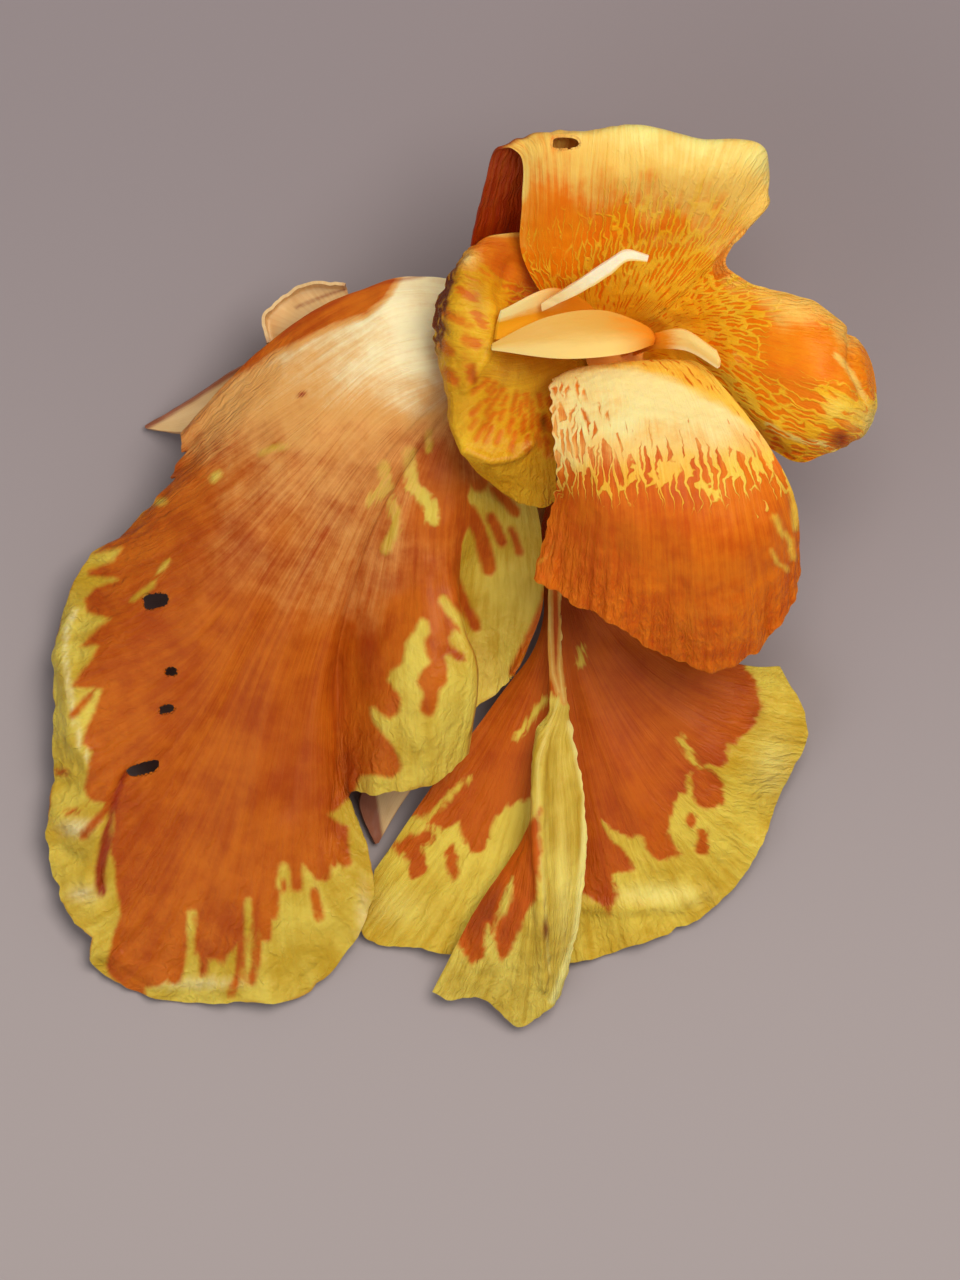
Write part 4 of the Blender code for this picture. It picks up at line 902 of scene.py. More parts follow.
FAN_YELLOW_STROKES = (
    (((31.1, -22), (33, -25.5)), 0.8), (((-4.7, -33.4), (1.2, -27.7)), 0.6),
    (((8, -22), (11.9, -16.7)), 0.6), (((17, -9.4), (17, -11.7)), 0.6),
)
fan = Sheet(side_roots(FAN_VEINS, FAN_ROOT, FAN_CLAW), columns=221, rows=131)
fan.frill(height=0.8, waves=6, reach=0.35)
fan.crease(
    (((14, -45.2), (21, -45.8), (30, -45.6), (34, -43.8)), 0.7, 0.9),
    (((18, -14), (24, -30), (28, -40)), 0.5, 1.8),
    (((22, -10), (33, -22), (40, -30)), 0.5, 2.0),
    (((27, -8), (38, -14), (44, -19)), -0.4, 1.4),
)
fan.crinkle(height=0.6, count=30.0, start=0.72, seed=5.0)
fan.raise_by(0.12 * rough_field(fan.points, 3.0, 7.0))
fan.tear(0.2, ((31, -49.5, 1.5, 0.6), (46, -25, 1.6, 0.7), (48, -20, 1.0, 0.5), (0, -52.5, 1.4, 0.6)))
here = fan.points
orange = np.clip(inside_by(here, FAN_ORANGE), -6, 2.6)
orange -= patches(here, ((36, -27, 5, 4, 0.5), (30, -36, 5, 4, 0.4), (0, -37, 5, 3, 0.4)))
orange = np.minimum(orange, -strokes(here, FAN_YELLOW_STROKES))
fan_petal = fan.piece("broad_fan_petal", {
    "orange": highest(orange, strokes(here, FAN_ORANGE_STROKES)),
    "net": 1.5,
    # Painted highlights: paler patches on the raised fold along the lower margin near (28, -44) and on the
    # rolled right margin near (44, -26).
    "milk_and_highlight": patches(here, ((28, -44.2, 8, 2.2, 0.5), (44, -26, 4, 6, 0.4), (-9, -46, 6, 4, 0.3))),
    # Besides the dry margin, painted shadow: darker patches under the lip and the claws near (30, -12) and
    # (16, -6).
    "dark": highest(dry_edge(fan, 0.5, 31.0), patches(here, (
        (30, -12, 7, 7, 0.2), (41.5, -18.5, 1.8, 3.5, 0.4), (16, -6, 5, 7, 0.3), (20, -16, 5, 6, 0.12),
        (-3, -47, 6, 5, 0.16),
    ))),
})
thicken(fan_petal, PETAL_THICKNESS)
FAN_TONES = (
    (170, 66, 4), (198, 92, 10), (196, 150, 30), (234, 198, 76), (232, 160, 70), (255, 232, 136),
    (124, 44, 8),
)
petal_skin(
    fan_petal, "fan_petal_skin", FAN_TONES,
    streaks=(70.0, 5.0, 0.3), cells=(28.0, 13.0), border=0.5,
)
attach(fan_petal, "root")
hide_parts("staminode_fan")

# The folded blade. A thin twisted claw carries a narrow blade that is folded along its length and hangs
# down over the fan. It is a soft sheet like the others, yellow with orange on its left flank.
FOLDED_ROOT = (265.0, 285.0, 16.2)
FOLDED_CLAW = (
    ((18.2, 18, 16), (20.2, 18, 16.4)),
    ((14.6, 8, 14.5), (16.8, 8, 15.3)),
    ((12.6, 0, 13.6), (14.6, 0, 14.8)),
    ((12.4, -8, 14.2), (14.3, -8, 13.2)),
    ((12.6, -16, 13.6), (15.1, -16, 12.2)),
)
FOLDED_VEINS = (
    ((10.9, -25, 10.6), (9.8, -34, 9.6), (2.4, -46, 7.6), (-4, -58, 2.4)),
    ((10.8, -25, 11.4), (9.9, -34, 11), (4.6, -46.8, 8.8), (-1, -59.5, 2.2)),
    ((10.9, -25, 12.2), (10.3, -34, 12.2), (8, -47, 10.2), (3, -58.8, 3.2)),
    ((11, -25, 12.9), (10.6, -34, 13), (10.2, -46.5, 11.3), (8.3, -63, 1.6)),
    ((11.6, -25, 13.4), (11.4, -34, 13.4), (12.2, -46, 11.7), (12, -60.9, 3.2)),
    ((14, -25, 12.2), (14.6, -33.5, 11.7), (14.8, -45.5, 9.8), (13.2, -59.6, 3)),
    ((16.6, -25, 10.2), (17.8, -33, 9.4), (17, -45, 7.6), (14.2, -58, 2.6)),
)
FOLDED_ORANGE = (
    (11.2, -32), (7, -37.5), (3, -43), (0, -49), (-0.2, -51), (1.6, -54.2), (3.4, -52.8), (3.9, -48.4),
    (4.5, -49.6), (5.9, -45.5), (7.4, -41.6), (7.2, -45), (5.6, -48), (4.8, -50.2), (5.6, -53.4),
    (7.4, -51.6), (9.2, -47), (10.6, -45), (11.2, -40.8),
)
folded = Sheet(side_roots(FOLDED_VEINS, FOLDED_ROOT, FOLDED_CLAW), columns=91, rows=241)
folded.crease(
    (((12.2, -18), (11.2, -26), (11.1, -36), (11.4, -48), (11.8, -57)), 0.9, 0.6),
    (((13.6, -22), (13.4, -34), (13.6, -46), (13, -54)), -0.5, 0.9),
)
folded.fray(first=False, raggedness=0.5, reach=0.2, seed=4.0)
folded.crinkle(height=0.5, count=9.0, start=0.5, seed=8.0)
folded.raise_by(0.2 * np.clip(folded.reach * 3 - 1, 0, 1) * rough_field(folded.points, 1.7, 3.0))
folded.tear(0.3, ((0, -58.5, 1.5, 1.0), (10.2, -61.5, 0.9, 0.7)))
here = folded.points
orange = highest(inside_by(here, FOLDED_ORANGE), stroke(here, ((12.9, -15), (13.1, -15.8)), 0.9))
claw = np.clip((here[..., 1] + 15.4) / 0.8, 0, 1)
orange = np.clip(orange, -6, 2.6) * (1 - claw) + 1.2 * claw
FLAP_EDGE = ((15.4, -20), (17.6, -30), (17.3, -38), (16.1, -50), (13, -59))
RIDGE_LINE = ((13.8, -16.5), (11, -25), (10.9, -36), (11.5, -42), (12.4, -55))
CLAW_LINES = (
    ((14.3, 3), (14.3, -6), (13.8, -12), (14.5, -17)),
    ((12.7, 1), (12.5, -6.6), (12.9, -13), (13.8, -15.6)),
)
folded_petal = folded.piece("folded_hanging_petal", {
    "orange": orange,
    "net": 1.0,
    "pale": highest(*(inked(here, line, 0.4, 0.55, 0.7) for line in CLAW_LINES)),
    # Painted highlights: pale lines along the flap's crimped right edge and along the raised ridge, and a
    # pale band on the flap.
    "milk_and_highlight": highest(
        inked(here, FLAP_EDGE, 0.6, 0.6, 0.7, 0.9),
        inked(here, RIDGE_LINE, 0.3, 0.3, 0.35, 0.8),
        patches(here, ((14.5, -44, 1.6, 12, 0.35),)),
    ),
    # Partly painted shade: the narrow dark bands near (9.8, -32) beside the ridge and near (13.2, -36) in
    # the groove.
    "dark": highest(
        patches(here, (
            (11.9, -48.9, 0.6, 1.9, 0.8), (13.2, -36, 0.6, 12, 0.25), (9.8, -32, 0.9, 5, 0.4),
            (12.6, -4, 0.8, 8, 0.3),
        )),
        0.6 * np.clip(orange, 0, 1) * patches(here, ((4, -46, 4.5, 8, 1.0),)),
        dry_edge(folded, 0.5, 3.0),
    ),
})
thicken(folded_petal, PETAL_THICKNESS)
FOLDED_TONES = (
    (176, 70, 4), (200, 92, 10), (192, 154, 44), (234, 202, 88), (228, 160, 70), (255, 232, 136),
    (116, 42, 8),
)
petal_skin(
    folded_petal, "folded_petal_skin", FOLDED_TONES,
    streaks=(26.0, 6.0, 0.3), cells=(8.0, 20.0), border=0.3,
)
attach(folded_petal, "root")
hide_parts("staminode_folded")

# The upper petal. Its hood rises from the rim of the tube and rolls back at its pale tip, and past a
# notch in the margin it goes on as a humped arm to the right, whose lowest edge is turned under.
HOOD_ROOT = (155.0, 52.0)
HOOD_VEINS = (
    ((15.6, 36, 26), (10.8, 41, 33), (8.4, 47, 38.6), (8.7, 53, 43.8), (8.5, 59, 47), (5.2, 60, 45.5),
     (3.3, 54.4, 41), (1.4, 46, 34.8)),
    ((17, 36.5, 26), (13, 42, 34), (12, 48, 41), (12, 54.5, 46.5), (11.5, 60.5, 49), (10.5, 61.5, 46),
     (8.8, 56, 40.4), (7.2, 47.6, 31.8)),
    ((19, 37, 26), (18, 43, 34.5), (18, 50, 43), (18.5, 57, 49), (19, 62, 49.5), (19, 61.5, 45),
     (18, 56, 41), (17, 50, 39)),
    ((22, 37.5, 26), (24, 44, 35), (25, 51, 44), (25.5, 58, 50), (25, 62.9, 49), (25, 61.5, 44),
     (25, 56, 41), (25, 50, 40)),
    ((24.5, 37.5, 26.5), (28.8, 44, 35), (31.2, 51, 44), (32.6, 57, 49.5), (33.3, 61, 48.5), (33.4, 60, 44),
     (33.2, 56.5, 42), (33, 52, 41.5)),
    ((26.2, 37.3, 27), (32.4, 43.8, 36), (37, 50, 43), (40, 56, 47.6), (42.3, 59.3, 47), (42.4, 58.6, 44),
     (41.8, 56.2, 42.6), (41, 53.6, 42.2)),
    ((27.2, 37, 27.5), (33.8, 43, 36), (37, 46.8, 40.2), (39, 49.2, 42.4), (40.6, 51, 43.8),
     (41.8, 52, 44.4), (42.6, 52.5, 44.2), (43, 52.7, 43.4)),
    ((27.9, 36.7, 27.8), (30.6, 39, 31.2), (32.6, 40.4, 33.8), (34, 41.2, 35.7), (35.1, 41.9, 37.2),
     (36, 42.4, 38.4), (36.8, 42.8, 39.5), (37.5, 43.1, 40.4)),
)
ARM_ROOT = (46.0, -14.0)
ARM_VEINS = (
    ((28.4, 36.4, 27.6), (31.2, 38.4, 31.2), (33.3, 39.4, 33.9), (35, 40.1, 36), (36.4, 40.6, 37.6),
     (37.7, 41, 38.9), (38.8, 41.3, 39.9), (39.8, 41.6, 40.7)),
    ((28.8, 36, 27.4), (32.6, 37.7, 32.2), (35.5, 38.7, 36), (37.9, 39.3, 38.7), (39.9, 39.7, 40.4),
     (41.6, 40, 41.3), (43.1, 40.1, 41.7), (44.6, 40, 41.7)),
    ((29.2, 35.5, 27.2), (33.6, 36.7, 33.2), (37.6, 37.3, 38.2), (41, 37.6, 41.6), (44, 37.8, 43.6),
     (46.6, 37.9, 44.3), (48.8, 37.9, 43.9), (50.6, 37.7, 42.8)),
    ((29.6, 34.8, 27), (34.8, 35.2, 34), (40, 34.8, 40.8), (44.4, 34.2, 44.6), (48.4, 33.6, 46.2),
     (52, 33, 45.4), (55, 32.3, 42.4), (56.8, 31.4, 38.4)),
    ((29.8, 34, 26.8), (35.2, 33.4, 33.8), (40.8, 31.6, 41), (45.6, 30, 45), (50, 28.6, 46.4),
     (53.6, 27.2, 45), (56.6, 26, 41.4), (57.9, 24.8, 37)),
    ((29.8, 33.1, 26.6), (35.4, 31.4, 33), (41, 28.4, 39.8), (46, 26, 43.8), (50.2, 24.2, 45.2),
     (53.6, 22.8, 44), (56.2, 21.8, 40.8), (57, 21.3, 37)),
    ((29.5, 32.2, 26.3), (35.3, 29.4, 31.8), (40.8, 25.6, 37.6), (45.4, 23, 41.4), (49.2, 21.4, 42.8),
     (52.2, 20.4, 41.8), (54.2, 19.8, 39.6), (54.6, 19.4, 37.2)),
    ((29, 31.2, 26), (34.8, 27.6, 30.8), (39.8, 24, 35.4), (43.6, 21.5, 38.6), (46.6, 20.1, 40),
     (49.2, 19.2, 40), (51.2, 18.6, 39), (52.3, 18.1, 37.6)),
    ((28.4, 30.3, 25.4), (33.6, 26.2, 28.6), (38, 22.6, 31), (41.4, 19.8, 33), (43.8, 18.2, 34.2),
     (45.4, 17.2, 34.8), (46.6, 16.8, 35.2), (48.2, 16.6, 35.6)),
)
RIM_ROOT_RADIUS = 3.3
RIM_SINK = 0.8


def rim_roots(veins, root):
    """The veins with their roots spread over the rim of the tube, just inside it."""
    whole = []
    for i, vein in enumerate(veins):
        turn = math.radians(root[0] + (root[1] - root[0]) * i / (len(veins) - 1))
        aside = (RIM_ROOT_RADIUS * math.cos(turn), RIM_ROOT_RADIUS * math.sin(turn), TUBE_TOP - RIM_SINK)
        whole.append([TUBE_AXIS + aside] + [np.array(point, float) for point in vein])
    return whole


upper = Sheet(rim_roots(HOOD_VEINS, HOOD_ROOT) + rim_roots(ARM_VEINS, ARM_ROOT), columns=321, rows=105)
upper.crease(
    (((30, 36), (40, 36.5), (50, 34.5)), -0.4, 1.0),
    (((31, 34), (42, 30), (54, 27)), 0.4, 1.6),
    (((54.3, 34.5), (54.2, 30), (56.2, 25)), -0.9, 0.6),
    (((20, 45), (22, 56)), 0.35, 1.4),
)
upper.crinkle(height=0.35, count=34.0, start=0.55, seed=9.0)
hollow = np.clip((0.2 - upper.side) / 0.05, 0, 1) * np.clip((upper.reach - 0.6) / 0.1, 0, 1)
upper.raise_by(0.5 * hollow * rough_field(upper.points, 1.7, 17.0))
upper.raise_by(0.12 * rough_field(upper.points, 2.4, 11.0))
upper.tear(0.2, ((41.8, 52.4, 0.9, 0.7), (39, 46, 0.9, 0.6), (54.6, 19.8, 1.2, 0.8), (6, 57, 1.2, 0.8)))
HOOD_HOLE = round_hole(14.6, 60.6, 2.1, 1.0, 0)
HOOD_ORANGENESS = (
    (16, 39, -0.7), (22, 40, -0.6), (27, 39, -0.7), (12, 43, 0.6), (13, 47, 1.4), (18, 50, 1.1),
    (14, 54, 1.8), (22, 53, 0.9), (22, 46, 0.4), (25, 44, -0.1), (28, 49, 0.4), (28, 55, 0.4),
    (33, 55, 0.2), (32, 47, 0.1), (36, 51, 0.2), (35, 44, 0.0), (40, 56, 0.6), (11, 58, 1.2), (18, 59, 1.0),
    (28, 60, 0.3), (36, 59, 0.2), (31, 36, -0.9), (33, 31, -1.0), (38, 37, -0.1), (38, 28, 0.2),
    (43, 38, 0.3), (46, 35, 1.8), (50, 31, 2.4), (46, 30, 1.7), (45, 25, 0.5), (49, 26, 0.8),
    (52, 24, -1.0), (51, 36, 0.8), (55, 32, 1.6), (56, 28, 1.0), (57, 22, -1.4), (54, 20, 1.0),
    (45, 19, 0.0), (41, 22, -0.4), (36, 24, -0.6),
)
# Besides the hood's own pale yellow top, this paleness holds painted light: the lit inner throat near (34,
# 30) and a painted highlight along the arm's upper edge near (46..54, 35..40).
HOOD_PALENESS = (
    (14, 50, 0.0), (22, 50, 0.04), (30, 50, 0.1), (36, 52, 0.22), (12, 54, 0.12), (20, 55, 0.22),
    (26, 55, 0.32), (32, 55, 0.42), (39, 55, 0.5), (11, 57, 0.3), (14, 58, 0.35), (18, 58.5, 0.5),
    (24, 58.5, 0.66), (31, 58.5, 0.7), (38, 58.5, 0.72), (10, 60.5, 0.45), (18, 61.5, 0.7), (25, 62, 1.0),
    (33, 60.5, 1.0), (41, 59, 0.95), (20, 44, 0), (30, 42, 0), (40, 35, 0), (46, 39.6, 0.45),
    (50, 37.6, 0.4), (54, 35.2, 0.4), (50, 33, 0.0), (56, 30, 0.1), (45, 30, 0), (50, 25, 0.05),
    (57, 22, 0.2), (40, 20, 0), (34, 30, 0.5), (17, 39, 0.3), (25, 44, 0.15),
)
HOOD_NET = (
    (19, 48, 7), (14, 50, 6), (14, 56, 0.5), (25, 52, 6), (30, 50, 5), (35, 53, 4.5), (30, 58, 0.5),
    (22, 41, 5), (30, 40, 6), (38, 36, 7), (45, 30, 6), (52, 32, 4), (50, 24, 6), (38, 26, 6), (34, 45, 4),
    (56, 28, 3),
)
LEFT_MARGIN = ((7.2, 59.6), (9.3, 57.3), (9, 55), (8.7, 53.5))
WHITISH_CREASE = ((52.2, 31.1), (53.8, 29.3), (56.4, 24.9))
TURNED_EDGE = ((42.9, 22), (44.5, 20.7), (48.1, 19.4), (50.7, 19.2), (52, 18.1))
here = upper.points
height = here[..., 2]
rolled_back = upper.reach > 0.7
underside = rolled_back & (upper.side < 0.45)
# Painted light: under_hole paints the rolled-back layer seen through the hood's hole paler and keeps it
# clear of the dark field, as if light shone through the thin petal.
under_hole = rolled_back * patches(here, ((14.6, 60.4, 3.5, 2.2, 1.0),))
hollow = np.clip((0.16 - upper.side) / 0.05, 0, 1) * np.clip((upper.reach - 0.68) / 0.05, 0, 1)
# Partly painted shade: the dark inside the hollow of the roll, which is also the petal's own dark
# red-orange back, the rolled-back underside below 41 mm, and the groove of the crease at the arm's end.
dark = highest(
    0.85 * hollow,
    0.35 * (height < 41) * underside,
    inked(here, ((54.3, 34), (54.3, 29.8)), 0.4, 0.4, 0.5),
    patches(here, ((52.8, 19.8, 1.8, 1.5, 0.8), (48, 17.4, 5, 1.3, 0.2), (51, 31.5, 5, 5, 0.2))),
    np.clip(0.4 - np.abs(inside_by(here, HOOD_HOLE)) * 1.2, 0, 1),
)
upper_petal = upper.piece("hooded_upper_petal", {
    "orange": np.where((height < 46.5) & underside, 2.0, graded(here, HOOD_ORANGENESS)),
    "net": graded(here, HOOD_NET),
    "pale": highest(
        graded(here, HOOD_PALENESS) * (height > 38),
        inked(here, LEFT_MARGIN, 0.6, 0.6, 0.6, 0.7) * (upper.reach < 0.7),
        inked(here, WHITISH_CREASE, 0.4, 0.5, 0.55),
        0.5 * under_hole,
    ),
    "milk_and_highlight": highest(
        inked(here, TURNED_EDGE, 0.4, 0.5, 0.6), patches(here, ((57, 22, 2, 3, 0.5), (52, 24, 3, 2.6, 0.3)))
    ),
    "dark": highest(dark * (1 - under_hole), dry_edge(upper, 0.5, 41.0)),
})
cut_hole(upper_petal, HOOD_HOLE, 47.0)
thicken(upper_petal, PETAL_THICKNESS)
UPPER_TONES = (
    (246, 116, 2), (252, 140, 6), (255, 174, 18), (255, 202, 54), (255, 194, 90), (255, 230, 134),
    (140, 34, 0),
)
petal_skin(
    upper_petal, "upper_petal_skin", UPPER_TONES,
    streaks=(120.0, 4.0, 0.7), cells=(74.0, 9.5), border=1.4,
)
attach(upper_petal, "root")
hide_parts("staminode_upper")

# The cup. This petal leaves the side of the tube left of the throat, rises to a ridge and turns down
# past it. It is wilting: ochre and olive, with a brown torn crust along its outer edge.
CUP_ROOT = (120.0, 225.0, 18.5)
CUP_VEINS = (
    ((17, 39, 22.6), (13.2, 44.2, 28.4), (9.4, 48.4, 35.4), (5, 48.1, 38), (1.2, 46, 38.4)),
    ((15, 37, 23.2), (10, 40.6, 29.8), (6, 42.2, 36.4), (2.4, 44, 39.8), (-0.8, 43.8, 36.8)),
    ((14, 35, 24), (8, 36.2, 32.6), (4.6, 37.2, 39.4), (0.5, 38.7, 40), (-3.6, 37.6, 34.2)),
    ((13.5, 33, 24.5), (7.5, 32.7, 33), (3.6, 33, 39.4), (0, 33.5, 39.5), (-3.7, 33.9, 33)),
    ((13.5, 31, 24.5), (7.5, 29.5, 33), (2.5, 30, 39.2), (-0.8, 30, 38), (-2.9, 30.5, 32)),
    ((14, 29, 24), (7.5, 26.5, 32), (1.8, 26.5, 37.5), (-0.8, 25.5, 36), (-1.8, 25.5, 31)),
    ((14.5, 28, 23.5), (8.5, 24, 30.5), (3, 21, 35), (0.8, 18.4, 35), (-0.3, 19.3, 30.5)),
    ((15.5, 27, 23.5), (10.5, 22.5, 29.5), (7, 19.5, 33.5), (5, 17, 34.5), (4.5, 13.3, 27.5)),
    ((16.5, 26.5, 23.5), (12.5, 22.5, 29), (10.3, 20.5, 32.5), (9.8, 19, 33), (9.5, 10, 25)),
    ((17.5, 26, 23.5), (15, 21.5, 28.5), (14, 19, 31), (13.5, 17, 31.5), (13.5, 10.5, 25.5)),
)
cup = Sheet(side_roots(CUP_VEINS, CUP_ROOT), columns=201, rows=131)
cup.crease(
    (((0.9, 18.2), (4.3, 16.7), (7.5, 17.4), (9.9, 19.2)), 0.6, 0.5),
    (((4.2, 32.4), (2.4, 29.5), (0.8, 26.6)), 0.5, 0.6),
    (((6.5, 34), (5.6, 40), (7, 44)), -0.5, 0.9),
)
cup.crinkle(height=0.5, count=26.0, start=0.6, seed=6.0)
cup.raise_by(0.15 * rough_field(cup.points, 2.4, 2.0))
cup.tear(0.35, (
    (-0.9, 43, 1.0, 1.2), (-2.6, 40.4, 0.8, 1.0), (-3.6, 37.4, 0.8, 1.1), (-4, 34.6, 0.8, 1.0),
    (3.2, 47.6, 0.8, 0.9), (6.6, 48.4, 0.7, 0.7),
))
CUP_ORANGENESS = (
    (4, 25, -2.0), (8, 24, -2.0), (12, 25, -0.8), (5, 21, -2.2), (10, 21, -1.6), (3, 28, -1.8),
    (8, 29, -1.2), (-1, 36, -0.8), (1.1, 35.3, 0.5), (0.9, 30.9, 0.4), (-2, 31, -1.4), (0, 26, -2),
    (2, 22, -2), (6, 15, -3), (9, 12, -3), (12, 14, -3), (3.5, 40, -0.3), (5, 46, 1.6), (8, 46, 1.6),
    (2, 43, -0.3), (9, 38, 0.5), (12, 42, 0.8), (9, 33, -0.6), (3, 37, -1.0), (2, 33, -1.4),
)
CUP_NET = (
    (8, 24, 0.5), (4, 24, 0.5), (11, 22, 1), (3, 29, 0.5), (-1, 33, 0.5), (6, 15, 0), (9, 12, 0),
    (5, 45, 1), (9, 38, 4), (3, 39, 1),
)
CUP_BLOTCHES = (
    ((-1.8, 37.2), (0.2, 36.2)), ((-2.4, 33), (-1.2, 31.8)), ((0.8, 33.6), (2.4, 32.8)),
    ((-1.6, 29), (-0.6, 27.8)), ((0.2, 40.2), (1.8, 39.4)), ((2.2, 37), (3.2, 35.6)),
    ((1.6, 29.6), (1.8, 28)),
)
CUP_PLEAT = ((0.9, 18.2), (4.3, 16.7), (7.5, 17.2), (9.9, 19.2))
CUP_CRUST = ((-0.7, 43.8), (-2.6, 40), (-4, 35.5), (-4, 33))
BLOTCH_WIDTH = 1.4
DASH_WIDTH = 0.9
DASH_CENTRE = (9.5, 32.5)
DASH_RADII = (7.2, 9.8, 12.4)
DASH_STEPS = 14
DASH_DEGREES = 7.2
dashes = [(blotch, BLOTCH_WIDTH) for blotch in CUP_BLOTCHES]
for row, radius in enumerate(DASH_RADII):
    for step in range(DASH_STEPS):
        uneven = DASH_DEGREES / 2 * (row % 2) + 2.0 * math.sin(5.0 * step + row)
        turn = math.radians(196 + DASH_DEGREES * step + uneven)
        near = radius + 0.5 * math.sin(3.0 * step + 2.0 * row)
        far = near + 1.9 + 0.6 * math.cos(4.0 * step + row)
        across, up = math.cos(turn), math.sin(turn)
        dash = [(DASH_CENTRE[0] + out * across, DASH_CENTRE[1] + out * up) for out in (near, far)]
        if dash[1][0] > 1.0 and dash[1][1] < 26.5:
            dashes.append((dash, DASH_WIDTH))
here = cup.points
crust = np.clip((cup.reach - 0.86) / 0.08, 0, 1) * patches(here, ((-2.5, 38.5, 4.5, 7, 1.5),))
crust = highest(inked(here, CUP_CRUST, 1.3, 0.3, 0.95, 0.7), crust)
cup_petal = cup.piece("cupped_petal", {
    "orange": highest(graded(here, CUP_ORANGENESS), strokes(here, dashes)),
    "net": graded(here, CUP_NET),
    "pale": highest(
        patches(here, ((1.2, 44.6, 1.6, 1.3, 0.8), (5.5, 48.2, 3.5, 0.5, 0.7))),
        inked(here, CUP_PLEAT, 0.1, 0.42, 0.45, 1.8),
    ),
    "milk_and_highlight": patches(here, ((1.5, 24, 2.2, 4, 0.1), (6.5, 29, 5, 3, 0.15))),
    "dark": highest(
        crust * np.clip(0.9 + rough_field(here, 0.9, 12.0), 0, 1),
        patches(here, (
            (2.5, 39.5, 1.8, 4, 0.4), (2, 28.5, 0.5, 2, 0.5), (11.6, 22, 0.7, 1.8, 0.7), (3, 23, 3, 4, 0.2),
        )),
        # Painted shadow: a dark line just below the pleat, where it overhangs the skin.
        inked(here, [(x, y - 0.45) for x, y in CUP_PLEAT], 0.25, 0.3, 0.4),
        dry_edge(cup, 0.7, 2.0),
    ),
})
thicken(cup_petal, PETAL_THICKNESS)
CUP_TONES = (
    (200, 94, 10), (222, 124, 16), (212, 146, 14), (236, 178, 36), (226, 156, 60), (250, 222, 140),
    (104, 40, 8),
)
petal_skin(
    cup_petal, "cup_petal_skin", CUP_TONES,
    streaks=(50.0, 4.0, 0.4), cells=(46.0, 8.0), border=0.6,
)
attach(cup_petal, "root")
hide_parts("staminode_cup")

# The lip. It rises from the rim below the throat, crests under a pale netted skin, and falls past a
# fringe band as a fluted orange fan.
LIP_ROOT = (228.0, 334.0)
LIP_VEINS = (
    ((16.7, 28, 26.5), (13, 28, 32.5), (12.5, 24, 38.5), (13, 19, 41.5), (13.6, 15, 41), (13, 11.5, 36.5),
     (10.4, 0.3, 29)),
    ((17.8, 27.8, 26), (16, 29.4, 32), (16.5, 24, 40), (16.5, 18.5, 44), (17, 13, 44), (16.5, 7, 39),
     (15.5, -3, 31)),
    ((20, 27.8, 26), (20, 30, 32), (21, 24.6, 41), (21, 18, 46), (21.5, 11, 46.5), (21.5, 3, 40.5),
     (21, -5.8, 33)),
    ((22.2, 28, 26), (24, 30.4, 31.6), (26, 24.4, 41), (27, 17, 47), (28, 9, 47), (28.5, -1, 39),
     (28.5, -10.8, 29)),
    ((24.2, 28.2, 26), (27.8, 30.6, 31.2), (31.5, 24.6, 39.6), (33.4, 16.8, 46), (35, 7, 46), (36, -3, 38),
     (36.5, -12.6, 28)),
    ((25.6, 28.8, 26), (30.4, 30.6, 31.4), (35.4, 25, 38.2), (38.8, 17.4, 43.4), (41, 8, 44), (42, 0, 37.5),
     (42.5, -9, 29)),
    ((26.4, 29.4, 26), (31.8, 30.4, 31.8), (36.8, 25.4, 37.2), (41, 18.6, 41), (44.2, 11.8, 41.6),
     (46, 4.5, 36.5), (46.5, -3, 30)),
    ((26.8, 30, 26), (32.4, 30.6, 32.2), (37.2, 26.2, 36.6), (41.4, 20.8, 39.4), (44.6, 15.8, 40.6),
     (46.8, 9.8, 37), (47.3, 2, 31)),
)
lip = Sheet(rim_roots(LIP_VEINS, LIP_ROOT), columns=241, rows=161)
lip.frill(height=0.8, waves=4, reach=0.3)
lip.crinkle(height=0.9, count=15.0, start=0.6, seed=3.0)
lip.crinkle(height=0.45, count=44.0, start=0.75, seed=13.0)
lip.fray(first=True, raggedness=0.7, reach=0.06, seed=2.0)
lip.raise_by(0.12 * rough_field(lip.points, 2.0, 9.0))
lip.tear(0.25, (
    (12, 0, 1.2, 0.8), (18.6, -5, 1.0, 0.7), (27.4, -11, 1.2, 0.8), (40, -11, 1.2, 0.7), (47, 2, 1.0, 0.5),
))
THROAT_LINE = ((10, 30.6), (17, 30), (24.7, 29.4), (30.5, 27.4), (36.4, 24.4), (42, 20.5), (48, 16))
FRINGE_TOP = (
    (10, 18), (14.2, 19), (22.7, 19.6), (25.6, 21.6), (31.3, 21.6), (39.9, 20.2), (42.7, 21), (48, 21.6),
)
FRINGE_FOOT = (
    (10, 10.5), (11.6, 11), (17, 11.9), (21.6, 10.1), (25.6, 11.6), (29.3, 9.6), (33.9, 9.9), (37, 11),
    (39.9, 11.6), (42.7, 13.6), (48, 17),
)
LIP_YELLOW = (
    (((45.6, 14.6), (46.4, 11), (46.6, 7.5)), 1.8),
    (((43.6, 8.8), (44.4, 7), (45.8, 5.6), (46.2, 3.2)), 1.5), (((43.2, 4.2), (44, 2.6), (45.4, 1.6)), 1.1),
    (((11, 2.4), (12.6, 3.6), (13.4, 5.6)), 0.6),
)
LIP_ORANGENESS = (
    (13, 24, 0.2), (16, 24, 0.0), (14, 20, 0.2), (17, 20, 0.2), (15, 17, 0.4), (20, 22, -0.7),
    (20.3, 16.2, 1.8), (24, 24, -2.4), (24, 19, -2.2), (28, 22, -2.8), (34, 22, -2.8), (39, 20, -1.6),
    (30, 28, -3), (20, 29, -2.6), (42, 19, -0.8), (30, 12, -3), (15, 8, -3), (40, 5, -3),
)
here = lip.points
tops = np.interp(here[..., 0], *zip(*FRINGE_TOP))
feet = np.interp(here[..., 0], *zip(*FRINGE_FOOT))
down = (tops - here[..., 1]) / (tops - feet)
throat = here[..., 1] - np.interp(here[..., 0], *zip(*THROAT_LINE))
